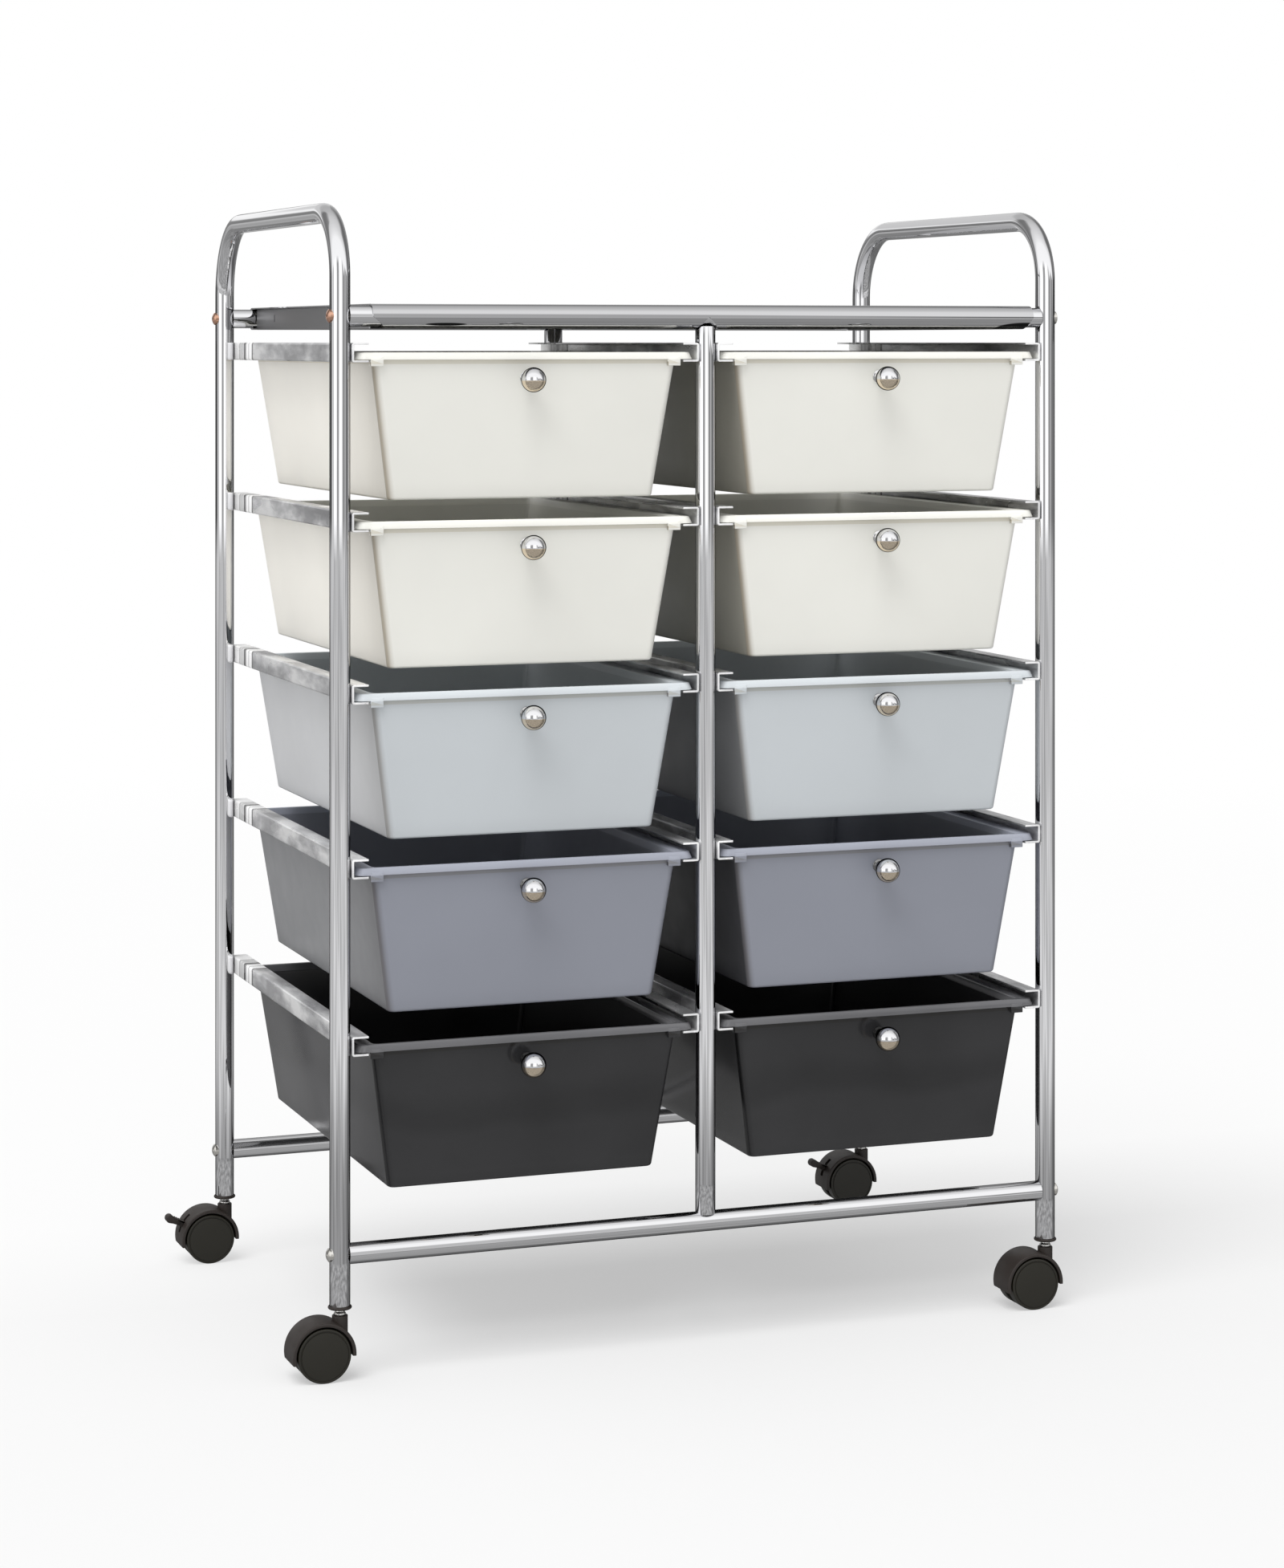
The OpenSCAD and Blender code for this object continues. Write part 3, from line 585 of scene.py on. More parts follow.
def paint_light_and_shade(made, base, rims, rim, side, inner, corner):
    """Painted light and shade of a drawer by the way its walls face: painted light on the left walls
    (painted shade on the mid grey), painted shade on the left walls between the two columns (painted
    light on the charcoal), a painted shade line on the upright corner beside them, and at the rims at
    the heights given a painted highlight band with a painted shadow under it."""
    x, _, z = made.xyz(made.place)
    normal = made.xyz(made.node("NewGeometry", output="Normal"))
    back = [made.times(part, -1.0) for part in normal[:2]]
    facing = made.degrees("ARCTAN2", back[1], back[0])
    # Painted light and shade on the left walls, those between the columns told apart by X
    tint = made.mix(made.math("GREATER_THAN", x, INNER_X), (*side, 1), (*inner, 1))
    painted_side_mask = made.ramp(facing, -180, 180, ((-25, 0.0), (-15, 1.0), (4, 1.0), (14, 0.0)))
    tint = made.mix(painted_side_mask, WHITE, tint)
    # Painted shade line at the upright corner beside the left walls
    painted_corner_shade = made.ramp(facing, -180, 180, ((0, 0.0), (7, 1.0), (32, 1.0), (60, 0.35), (84, 0.0)))
    tint = made.mix(painted_corner_shade, tint, (*corner, 1))
    outside = made.below(normal[2], -0.02)
    tint = made.mix(outside, WHITE, tint)
    # Painted shadow under each rim on the outer walls, and a painted highlight band over the rim
    shade = made.product(tint, (0.86, 0.83, 0.77, 1))
    for height in rims:
        off = made.math("SUBTRACT", height, z)
        under = made.below(made.off(off, RIM_PAINTED_SHADOW_DROP), RIM_PAINTED_SHADOW_HALF)
        tint = made.mix(made.times(under, outside), tint, shade)
        tint = made.mix(made.below(made.math("ABSOLUTE", off), RIM_PAINTED_HIGHLIGHT_HALF), tint, (*rim, 1))
    return made.product(base, tint)


def knob_finish(name, colour):
    """Chrome of the knobs with painted reflections: a brownish lower half painted as the mirror image
    of a wooden floor, a painted dark ring round the ball, dark in its edge reflections too, and a
    neck painted in the tone of its drawer's front as its mirror image."""
    made = chrome_finish(name, colour)
    normal = made.node("NewGeometry", output="Normal")
    # Painted reflection: dark ring round the ball
    edge = made.ramp(made.dot(normal, KNOB_PAINTED_RING_AXIS), -1, 1,
                     ((-0.25, 0.0), (-0.1, 1.0), (0.28, 1.0), (0.44, 0.0)))
    # Painted reflection of a wooden floor on the ball's lower half
    ball = made.ramp(made.xyz(normal)[2], -1, 1, ((-0.06, (0.85, 0.73, 0.57)), (-0.04, (*colour,))))
    ball = made.mix(edge, ball, (0.05, 0.045, 0.04, 1))
    _, y, z = made.xyz(made.place)
    # Painted reflection: the neck takes the tone of its drawer's front
    made.paint({
        "Base Color": made.mix(made.below(y, KNOB_BALL_Y), made.ramp(z, 0, 1, NECK_PAINTED_REFLECTION), ball),
        "Specular Tint": made.mix(edge, WHITE, BLACK)})
    return made


def steel_finish(name, colour, rough):
    """Zinc-plated or turned steel with fine turning lines."""
    made = Finish(name)
    made.paint({
        "Base Color": (*colour, 1), "Metallic": 1.0,
        "Roughness": made.remap(made.noise(made.place, 300.0, 2.0), rough * 0.7, rough * 1.3),
        "Normal": made.bump(made.noise(made.place, 900.0, 1.0), 0.00001)})
    return made


def screw_finish(name):
    """Screws: copper-coloured at the left ends of the top rails and bright nickel elsewhere, told by
    height less twice the distance to the right."""
    made = steel_finish(name, (1, 1, 1), 0.2)
    x, _, z = made.xyz(made.place)
    key = made.math("MULTIPLY_ADD", made.math("MAXIMUM", x, 0.0), -2.0, z)
    tones = ((0.45, (0.74, 0.72, 0.68)), (0.55, (0.72, 0.42, 0.30)))
    made.paint({"Base Color": made.ramp(key, 0, 1, tones)})
    return made


def drawer_finish(name, kind, colour):
    """Plastic of the drawers of one colour, with its painted light and shade; the charcoal is
    glossy and wavy.
    """
    rim = bpy.context.scene.cart_sizes.rim_height
    rims = [DRAWER["left", level][1][2] - 0.5 * rim for level in LEVELS if PLASTIC[level] == kind]
    gloss = (0.16, 0.22, 0.000004, 0.00012) if kind == "charcoal" else (0.34,)
    return plastic_finish(name, colour, *gloss, painted_light_layers=(rims, *DRAWER_LIGHT_AND_SHADE[kind]))


def finish(slot):
    """The material of a slot of the record, made on first use."""
    name = f"finish_{slot}"
    colours = bpy.context.scene.cart_colours
    chrome, black = tuple(colours.chrome), tuple(colours.black)
    steel, plastic = (steel_finish, (0.72, 0.71, 0.69), 0.25), (plastic_finish, black, 0.5, 0.1)
    tread = (0.55 * black[0], 0.65 * black[1], 0.4 * black[2])
    kinds = {
        "chrome_tube": (chrome_finish, chrome), "chrome_knob": (knob_finish, chrome),
        "chrome_sheet": (sheet_finish, chrome), "runner_steel": (zinc_finish,),
        "screw_steel": (screw_finish,), "insert_steel": steel, "stem_steel": steel,
        "black_hood": plastic, "black_lever": plastic, "black_plug": plastic,
        "black_wheel": (plastic_finish, tread, 0.42, 0.1)}
    for kind in DRAWER_LIGHT_AND_SHADE:
        kinds[f"{kind}_plastic"] = (drawer_finish, kind, tuple(getattr(colours, kind)))
    maker, *values = kinds[slot]
    return bpy.data.materials.get(name) or maker(name, *values).material


# Pieces of the chrome frame

# Length of the chamfer at a tube's cut end
CUT_EDGE = 0.0003


def make_hoop(side, sizes):
    """Hoop: straight post, quarter bend, handle bar, quarter bend and post, in a plane of constant X.
    The centre line is an arc at each upper corner, with a larger radius at the back."""
    low, high = HOOP[side]
    z0, z1 = low[2], high[2] - TUBE_R
    a = np.linspace(0, np.pi / 2, 25)
    lines, rays = [], []
    for sign, r in ((-1, sizes.front_bend), (1, sizes.back_bend)):
        straight = np.r_[z0, z0 + CUT_EDGE, np.linspace(z0, z1 - r, 24)[1:-1]]
        bend = columns(POST_Y - r + r * np.cos(a), z1 - r + r * np.sin(a))
        angle = np.r_[0 * straight, a]
        lines.append(np.r_[columns(POST_Y, straight), bend] * [sign, 1])
        rays.append(columns(0, sign * np.cos(angle), np.sin(angle)))
    y, z = np.r_[lines[0], lines[1][::-1]].T
    surface = tube(columns(middle(HOOP[side])[0], y, z), np.r_[rays[0], rays[1][::-1]], sizes)
    return new_piece(f"{side}_hoop", "tube", [surface], ROOT, "chrome_tube")


def make_rail(end, row, sizes):
    """Rail: a tube along X whose ends follow the posts, x = post - sqrt(R2 - y2), to its flat cut."""
    box, n = RAIL[end, row], 22
    _, y, z = middle(box)
    cos, sin = circle(sizes.arc_steps)
    radius = np.repeat([TUBE_R, TUBE_R - sizes.tube_wall], n)
    share = np.r_[np.linspace(-1, 1, n), np.linspace(1, -1, n)]
    across = radius[None] * cos
    reach = np.minimum(box[1][0], POST_X - np.sqrt(np.maximum(TUBE_R ** 2 - across ** 2, 0)))
    along = share[None] * reach
    points = columns(along, y + across, z + radius[None] * sin)
    surface = grid(points, True, True, columns(cos, sin, along))
    return new_piece(f"{end}_{row}_rail", "tube", [surface], ROOT, "chrome_tube")


def make_center_post(end, sizes):
    """Centre post: a straight tube, its cut ends let into the rails."""
    box = span(f"{end}_center_post")
    z = np.linspace(box[0][2], box[1][2], 30)
    z = np.r_[z[0], z[0] + CUT_EDGE, z[1:-1], z[-1] - CUT_EDGE, z[-1]]
    surface = tube(columns(0, middle(box)[1], z), np.tile([0.0, -1.0, 0.0], (len(z), 1)), sizes)
    return new_piece(f"{end}_center_post", "tube", [surface], ROOT, "chrome_tube")


def make_shelf(sizes):
    """Shelf: a sheet whose long edges roll 240 degrees round the rails. The section runs from one
    roll's inner end over the flat to the other. At each end x slants where the front roll turns
    under, and in the middle the rolls stand back from the centre posts by notch |sin| of the angle."""
    low, high = SHELF
    roll_out = high[2] - TOP_RAIL_Z
    cut_left, cut_right, notch, flange_inset, slot_y = 0.011, 0.006, TUBE_R + 0.0015, 0.002, 0.115
    a = np.radians(np.linspace(-60, -270, 43))
    section = []
    for r, order in ((roll_out, 1), (roll_out - sizes.sheet, -1)):
        rolled = columns(-POST_Y + r * np.cos(a), TOP_RAIL_Z + r * np.sin(a))
        flat = columns(np.linspace(-POST_Y, POST_Y, 34)[1:-1], TOP_RAIL_Z + r)
        section.append(np.r_[rolled, flat, (rolled * [-1, 1])[::-1]][::order])
    y, z = np.concatenate(section).T
    count, skin = len(y), len(y) // 2
    turned = int(np.argmax(a <= -np.pi + 1e-9))
    gap = np.zeros(skin)
    gap[:turned] = notch * np.abs(np.sin(a[:turned]))
    gap += gap[::-1]
    gap = np.r_[gap, gap[::-1]]
    slant = np.clip((TOP_RAIL_Z - z) / roll_out, 0, 1) * (y < 0)
    share = np.r_[0, 0.001, np.linspace(0, 1, 30)[1:-1], 0.999, 1]
    whole, notched = np.arange(skin - 1), np.r_[0:turned, skin - 1 - turned:skin - 1]
    surfaces = []
    for x0, x1, first, last in ((low[0] + cut_left * slant, -gap, whole, notched),
                                (gap, high[0] - cut_right * slant, notched, whole)):
        x = x0[None] + (x1 - x0)[None] * share[:, None]
        v, f, w = grid(columns(x, y, z), wrap_v=True)
        surfaces.append((v, f + bridge(0, first, count) + bridge(len(v) - count, last, count), w))
    surfaces.append(shelf_flange(low[0] + flange_inset, 1, sizes.sheet, slot_y))
    surfaces.append(shelf_flange(high[0] - flange_inset, -1, sizes.sheet))
    return new_piece("top_shelf", "sheet", surfaces, ROOT, "chrome_sheet")


def bridge(start, i, count):
    """Faces between the two skins of a folded section at one end, for the steps i of the outer skin."""
    first, last = start + i, start + count - 1 - i
    return columns(first, first + 1, last - 1, last).tolist()


def shelf_flange(x, side, t, slot_y=None):
    """End fold of the shelf: a strip that bends down from the sheet with a small radius, with an
    upright slot at slot_y in the left one."""
    low, high = SHELF
    reach = POST_Y - (high[2] - TOP_RAIL_Z) - 0.001
    bend, under, slot_half, slot_wide = 0.0022, 0.00003, 0.003, 0.002
    a = np.radians(np.linspace(90, 180, 9))
    outer, inner = [columns(x + side * (bend + r * np.cos(a)), high[2] - bend + r * np.sin(a))
                    for r in (bend, bend - t)]
    start, inside_x = x + side * 0.012, x + side * t
    slot_z = [TOP_RAIL_Z + slot_half, TOP_RAIL_Z - slot_half]
    outline = np.r_[[[start, high[2] - under]], outer - [0, under], [[x, z] for z in slot_z],
                    [[x, low[2]], [inside_x, low[2]]], [[inside_x, z] for z in slot_z[::-1]],
                    inner[::-1], [[start, high[2] - t]]]
    between = () if slot_y is None else (slot_y, slot_y + slot_wide)
    v, f, w = extrude(outline[::side], upright(0, 0, 0), -reach, reach, 0.0002, between)
    if slot_y is not None:
        n = len(outline)
        front, outside, inside = 4 * n, 10, 14
        ring = [front + k for k in (outside, outside + 1, inside, inside + 1)]
        f = [face for order, face in enumerate(f) if order not in (front + outside, front + inside)]
        f += [[p, q, q + n, p + n] for p, q in ((ring[0], ring[3]), (ring[1], ring[2]))]
        f += [[p + step for p in ring] for step in (0, n)]
    return v, f, w


def make_runners(level, sizes):
    """Runners: four C-shaped strips, their corners bent round, carried along Y."""
    low, high = RUNNER[level]
    t, w, h = sizes.strip, sizes.runner_width, high[2] - low[2]
    outline = np.array([[0, 0], [w, 0], [w, t], [t, t], [t, h - t], [w, h - t], [w, h], [0, h]])
    fold, inside, cut = 0.0016, 0.0005, 0.0002
    section = rounded(outline, [fold, cut, cut, inside, inside, cut, cut, fold])
    surfaces = [extrude(section, upright(x, 0, low[2], side), low[1], high[1], 0.00018)
                for x, side in ((low[0], 1), (-TUBE_R, -1), (TUBE_R, 1), (high[0], -1))]
    return new_piece(f"runners_{level}", "strips", surfaces, ROOT, "runner_steel")


# Drawers and knobs

def drawer_stations(sizes, box):
    """Stations from the outer bottom edge up the tub, under the rim, round its lip, over its top
    and down the inside to the inner bottom edge."""
    low, high = box
    top, rim_z, wall = high[2], high[2] - sizes.rim_height, sizes.tub_wall
    rim_t, rim_corner, end_draft, least = 0.002, 0.008, 0.0012, 0.0012
    turn = np.radians(np.linspace(0, 90, 6))

    def tub(inset, z):
        """Ring of the tub's wall at height z, moved in by inset."""
        share = (top - z) / (top - low[2])
        return (sizes.tub_half - sizes.side_taper * share - inset,
                low[1] + sizes.end_lip + sizes.end_taper * share + inset,
                high[1] - sizes.end_lip - sizes.end_taper * share - inset,
                max(sizes.tub_corner - inset, least), z)

    def bottom(inset, z, edge):
        """Rings of the quarter turn of radius edge between the wall and a bottom at height z."""
        return [tub(inset + edge * (1 - math.sin(a)), z + edge * (1 - math.cos(a))) for a in turn]

    def lip(inset, z):
        """Ring of the leaning lip, its outer face moved in by inset."""
        up = (z - rim_z) / sizes.rim_height
        return (half(box)[0] - inset - sizes.rim_draft * up, low[1] + inset + end_draft * up,
                high[1] - inset - end_draft * up, max(rim_corner - inset - end_draft * up, 0.001), z)

    rows = bottom(0, low[2], sizes.tub_edge)
    rows += [tub(0, z) for z in np.linspace(low[2] + 0.012, rim_z - 0.001, 6)]
    r = 0.0005
    rows += [tub(0, top - rim_t), lip(rim_t, top - rim_t), lip(rim_t, rim_z + r),
             lip(rim_t - r * 0.3, rim_z + r * 0.3), lip(rim_t - r, rim_z), lip(r, rim_z),
             lip(r * 0.3, rim_z + r * 0.3), lip(0, rim_z + r)]
    r = 0.0008
    rows += [lip(0, top - r), lip(0.12 * r, top - 0.5 * r), lip(0.45 * r, top - 0.12 * r),
             lip(1.1 * r, top)]
    r = 0.0009
    rows += [tub(wall - r, top), tub(wall - 0.3 * r, top - 0.3 * r), tub(wall, top - r)]
    floor = low[2] + wall
    rows += [tub(wall, z) for z in np.linspace(rim_z - 0.002, floor + 0.012, 6)]
    return rows + bottom(wall, floor, 0.0015)[::-1]


def make_drawer(side, level, sizes):
    """Drawer: rounded rectangles stacked along the stations of its section, closed by flat bottoms,
    with two tabs under the rim's front corners."""
    low, high = box = DRAWER[side, level]
    x = middle(box)[0]
    rings = ring_stack(drawer_stations(sizes, box), 10)
    rings[..., 0] += x
    v, f, w = grid(rings, wrap_u=True)
    around, count = rings.shape[:2]
    surfaces = [(v, f + [[i * count + last for i in range(around)] for last in (0, count - 1)], w)]
    tab_half, tab_h, tab_drop = 0.00515, 0.0075, 0.005
    tab = rounded([[-tab_half, 0], [tab_half, 0], [tab_half, tab_h], [-tab_half, tab_h]], 0.0004, 3)
    for sign in (-1, 1):
        place = upright(x + sign * (sizes.tub_half - 0.0038), 0, high[2] - sizes.rim_height - tab_drop)
        surfaces.append(extrude(tab, place, low[1] + 0.00005, low[1] + 0.006, 0.0004))
    return new_piece(f"drawer_{side}_{level}", "tub", surfaces, f"tray_{side}_{level}",
                     f"{PLASTIC[level]}_plastic")


def make_knob(side, level, sizes):
    """Knob: a foot, a waisted neck and a ball in one profile turned round the axis that stands
    square on the leaning face, and the pan head of its screw inside."""
    low, high = box = DRAWER[side, level]
    lean = math.atan2(sizes.end_taper, high[2] - low[2])
    z = high[2] - sizes.rim_height - sizes.knob_drop
    y = low[1] + sizes.end_lip + sizes.end_taper * (high[2] - z) / (high[2] - low[2])
    origin, axis = (middle(box)[0], y, z), (0, -math.cos(lean), -math.sin(lean))
    r, reach, wall = sizes.knob_radius, sizes.knob_reach, sizes.tub_wall
    foot = [(0, 0), (0.0048, 0), (0.0053, 0.0005), (0.0053, 0.0010), (0.0048, 0.0015), (0.0041, 0.0017)]
    neck_r, waist_r = 0.0036, 0.0034
    meet = math.degrees(math.asin(neck_r / r))
    neck = [(neck_r, 0.0023), (waist_r, 0.004),
            (waist_r, reach - r * math.cos(math.radians(meet)) - 0.0012)]
    profile = np.r_[foot, neck, arc(0, reach, r, meet - 90, 90, 39)]
    head = [(0, -wall - 0.0026), (0.0022, -wall - 0.00255), (0.0034, -wall - 0.0022),
            (0.004, -wall - 0.0014), (0.004, -wall), (0, -wall)]
    surfaces = [revolve(profile, origin, axis, sizes.arc_steps), revolve(head, origin, axis, 32)]
    return new_piece(f"knob_{side}_{level}", "ball", surfaces, f"tray_{side}_{level}", "chrome_knob")


# Casters and fasteners

def post_point(end, side):
    """Axis of a corner's post at the floor."""
    return np.array([POST_X if side == "right" else -POST_X, POST_Y if end == "back" else -POST_Y, 0.0])


# Thickness of a hood's shell, and how far its cuts lie below the axle in front and behind
HOOD_WALL, HOOD_LIP, HOOD_SKIRT = 0.0028, 0.0014, 0.0053


def hood_shell(x, y):
    """Shell of a hood: a rounded section in (radius, y) turned round the axle from the level cut in
    front, over the top, to the level cut behind; each angle is asin(height over radius)."""
    edge, (_, y1, _) = 0.0011, half(HOOD)
    r_in = HOOD_R - HOOD_WALL
    section = rounded([[r_in, -y1], [HOOD_R, -y1], [HOOD_R, y1], [r_in, y1]],
                      [edge * 0.5, edge, edge, edge * 0.5], 5)
    r, across = section.T
    start, stop = np.arcsin(-HOOD_LIP / r), np.pi + np.arcsin(HOOD_SKIRT / r)
    phi = start + (stop - start) * np.linspace(0, 1, 61)[:, None]
    v, f, w = grid(columns(x + r * np.cos(phi), y + across, WHEEL_R + r * np.sin(phi)), wrap_v=True)
    return v, f + end_caps(len(section), len(v)), w


def make_hood(end, side):
    """Hood: a shell over both wheels, a flat web between them and a boss that stands on the shell."""
    post = post_point(end, side)
    axle_x, y = post[0] - TRAIL, post[1]
    web_half, web_front = 0.004, 0.012
    r = HOOD_R - HOOD_WALL / 2
    dip = math.degrees(math.asin(HOOD_SKIRT / r))
    top = arc(0, 0, r, -dip, 180 + dip, 60)
    outline = np.r_[top[top[:, 1] > -HOOD_LIP * 0.9],
                    [[-r * 0.98, -HOOD_SKIRT], [web_front, -HOOD_SKIRT], [web_front, -HOOD_LIP]]]
    web = extrude(outline, upright(axle_x, y, WHEEL_R), -web_half, web_half, 0.0003)
    boss_r, boss_top, edge = 0.0061, HOOD[1][2], 0.0006
    cos, sin = circle(48)
    turn = np.radians([90, 60, 30, 0])
    radius = np.r_[0.0, boss_r - edge + edge * np.cos(turn), boss_r, 0.0]
    bx, by = radius[None] * cos, radius[None] * sin
    height = np.r_[boss_top, boss_top - edge + edge * np.sin(turn), 0, 0]
    bz = np.broadcast_to(height, bx.shape).copy()
    bz[:, -2:] = (WHEEL_R + np.sqrt((HOOD_R - HOOD_WALL * 0.6) ** 2 - (bx + TRAIL) ** 2))[:, -2:]
    boss = grid(columns(post[0] + bx, y + by, bz), wrap_u=True)
    piece = new_piece(f"hood_{end}_{side}", "shell", [hood_shell(axle_x, y), web, boss],
                      f"swivel_{end}_{side}", "black_hood")
    if end == "back":
        cut_lever_slot(piece, axle_x, y)
    return piece


def cut_lever_slot(piece, axle_x, y):
    """Cuts the slot that the brake lever swings in: a wedge seen from the axle, between two angles."""
    inner, outer, slot_half = 0.0115, 0.027, 0.0024
    wedge = np.r_[arc(0, 0, outer, 128, 168, 12), arc(0, 0, inner, 168, 128, 12)]
    v, f, _ = extrude(wedge, upright(axle_x, y, WHEEL_R), -slot_half, slot_half, 0.0001)
    mesh = bpy.data.meshes.new("slot_cutter")
    mesh.from_pydata(v.tolist(), [], f)
    work = bmesh.new()
    work.from_mesh(mesh)
    bmesh.ops.recalc_face_normals(work, faces=work.faces)
    work.to_mesh(mesh)
    work.free()
    cutter = add_object("slot_cutter", mesh)
    cut = piece.modifiers.new("slot", "BOOLEAN")
    cut.object, cut.operation, cut.solver, cut.use_self = cutter, "DIFFERENCE", "EXACT", True
    bpy.context.view_layer.update()
    result = bpy.data.meshes.new_from_object(piece.evaluated_get(bpy.context.evaluated_depsgraph_get()))
    piece.modifiers.clear()
    piece.data = result
    shade_smooth(result)
    bpy.data.objects.remove(cutter)


def make_wheel(end, side, near):
    """Wheel: tread with rounded edges, a ring and a groove on its face, and a low dome."""
    post = post_point(end, side)
    out = -1 if near == "near" else 1
    node = f"wheel_{end}_{side}_{near}"
    inner_y = span(node)[1 if out < 0 else 0][1]
    r, width, dome, edge, bore, hub, recess = WHEEL_R, 0.0098, 0.0007, 0.0009, 0.0026, 0.006, 0.0068
    ring, groove, well = r - 0.0019, width - 0.0005, r - 0.0035
    profile = [(0, 0.0078), (bore, 0.0078), (bore, 0), (0.0055, 0), (hub, 0.0004), (hub, recess),
               (well, recess), (well, 0), (r - 0.0006, 0), (r, 0.0006)]
    profile += [*arc(r - edge, width - edge, edge, 0, 90, 5)]
    profile += [(ring + 0.0002, width), (ring, width - 0.0002), (ring - 0.0001, groove),
                (ring - 0.0007, groove)]
    profile += [(ring * s, width + dome * (1 - s ** 2.2)) for s in np.linspace(0.955, 0.0, 16)]
    surface = revolve(profile, (post[0] - TRAIL, inner_y, WHEEL_R), (0, out, 0), 96)
    return new_piece(node, "tread", [surface], f"roller_{end}_{side}_{near}", "black_wheel", sharp=28)


def make_plugs():
    """Plugs: a round flange, rounded at its edge, under each post's foot."""
    low, high = span("post_plugs")
    flange, pin, r, top = 0.0023, 0.0067, high[0] - POST_X, high[2] - low[2]
    edge = [(r - 0.0011 + 0.0011 * math.cos(t), 0.00115 + 0.00115 * math.sin(t))
            for t in np.radians(np.linspace(-90, 90, 13))]
    profile = [(0.0, 0.0006), (0.0038, 0.0006), (0.0044, 0.0), (r - 0.0016, 0), *edge,
               (TUBE_R + 0.0001, flange), (TUBE_R + 0.0001, flange - 0.0005), (pin, flange - 0.0005),
               (pin, top), (0.0, top)]
    surfaces = [revolve(profile, post_point(*corner) + [0, 0, low[2]], (0, 0, 1), 64)
                for corner in CORNERS]
    return new_piece("post_plugs", "flanges", surfaces, ROOT, "black_plug")


def make_stems():
    """Stems: a pin, a rounded collar and a neck that tapers into the plug."""
    low, high = span("caster_stems")
    pin, z = 0.0035, HOOD[1][2] + 0.0004
    profile = [(0, low[2]), (pin, low[2]), (pin, z), (0.0042, z), (0.0046, z + 0.0003),
               (0.0047, z + 0.0008), (0.0046, z + 0.0013), (0.0042, z + 0.0017), (0.0038, z + 0.0024),
               (pin, z + 0.003), (pin, high[2]), (0, high[2])]
    surfaces = [revolve(profile, post_point(*corner), (0, 0, 1), 48) for corner in CORNERS]
    return new_piece("caster_stems", "turned", surfaces, ROOT, "stem_steel")


def make_screws():
    """Rail screws: a dome on a rim against each post, almost flat on the two upper ones at the right."""
    head_r, head_edge, rim, shank, shank_end = 0.00525, 0.0002, TUBE_R + 0.0008, 0.0025, -0.024
    start = TUBE_R - 0.002
    surfaces = []
    for end, side in CORNERS:
        axis = (1 if side == "right" else -1, 0, 0)
        for z in (BOTTOM_RAIL_Z, TOP_RAIL_Z):
            dome = 0.0006 if side == "right" and z == TOP_RAIL_Z else 0.0022
            ball = (head_r ** 2 + dome ** 2) / (2 * dome)
            profile = [(0, start), (head_r - head_edge, start), (head_r, start + head_edge),
                       (head_r, rim)]
            profile += [(ball * math.sin(t), rim + dome - ball + ball * math.cos(t))
                        for t in np.linspace(math.asin(head_r / ball), 0, 14)[1:]]
            pin = [(0, shank_end), (shank, shank_end), (shank, start + 0.0005), (0, start + 0.0005)]
            origin = post_point(end, side) + [0, 0, z]
            surfaces += [revolve(profile, origin, axis, 40), revolve(pin, origin, axis, 24)]
    return new_piece("rail_screws", "heads", surfaces, ROOT, "screw_steel")


def make_lever(side):
    """Brake lever: an arm from hub to pad, the pad wider with a round end and ribs across its top."""
    x, y, _ = post_point("back", side)
    pivot_r, angle, pin, pin_half = 0.017, math.radians(150), 0.0015, 0.0038
    pivot = np.array([-TRAIL + pivot_r * math.cos(angle), WHEEL_R + pivot_r * math.sin(angle)])
    tip = np.array([-0.0485, 0.0386])
    reach = float(np.linalg.norm(tip - pivot))
    run = (tip - pivot) / reach
    up = np.array([run[1], -run[0]])

    def place(a, b, h):
        """Points a along the lever and b above it, at h along its pin."""
        return columns(x + pivot[0] + a * run[0] + b * up[0], y + h, pivot[1] + a * run[1] + b * up[1])

    arm = np.r_[arc(0, 0, 0.003, 60, 300, 16), [[reach * 0.8, -0.0021], [reach * 0.8, 0.0021]]]
    ribs = [arc(p, 0.0022, 0.00075, 10, 170, 6) for p in np.linspace(reach - 0.0045, reach - 0.0125, 5)]
    under = [[reach * 0.58, 0.0016], [reach * 0.58, -0.0019], [reach - 0.004, -0.0025]]
    pad = np.concatenate([arc(reach, 0, 0.0034, -110, 110, 20), *ribs, under])
    surfaces = [extrude(arm, place, -0.002, 0.002, 0.0003), extrude(pad, place, -0.0045, 0.0045, 0.0008),
                revolve([(0, -pin_half), (pin, -pin_half), (pin, pin_half), (0, pin_half)],
                        (x + pivot[0], y, pivot[1]), (0, 1, 0), 24)]
    return new_piece(f"brake_lever_back_{side}", "arm", surfaces, f"brake_back_{side}", "black_lever")


# Stage

# What the plating mirrors near the horizon: (degrees to the right of the room's front, brightness)
ROOM_BANDS = ((-180, 0.45), (-143, 0.45), (-138, 0.10), (-100, 0.08), (-93, 0.25), (-88, 0.70),
              (-78, 0.70), (-74, 0.45), (-68, 0.45), (-63, 1.15), (-31, 1.15), (-27, 0.32), (-6, 0.34),
              (-2, 1.15), (26, 1.15), (30, 0.52), (44, 0.48), (46.5, 0.10), (54, 0.10), (57, 0.48),
              (70, 0.45), (76, 0.16), (92, 0.16), (104, 0.22), (120, 0.16), (150, 0.10), (180, 0.10))
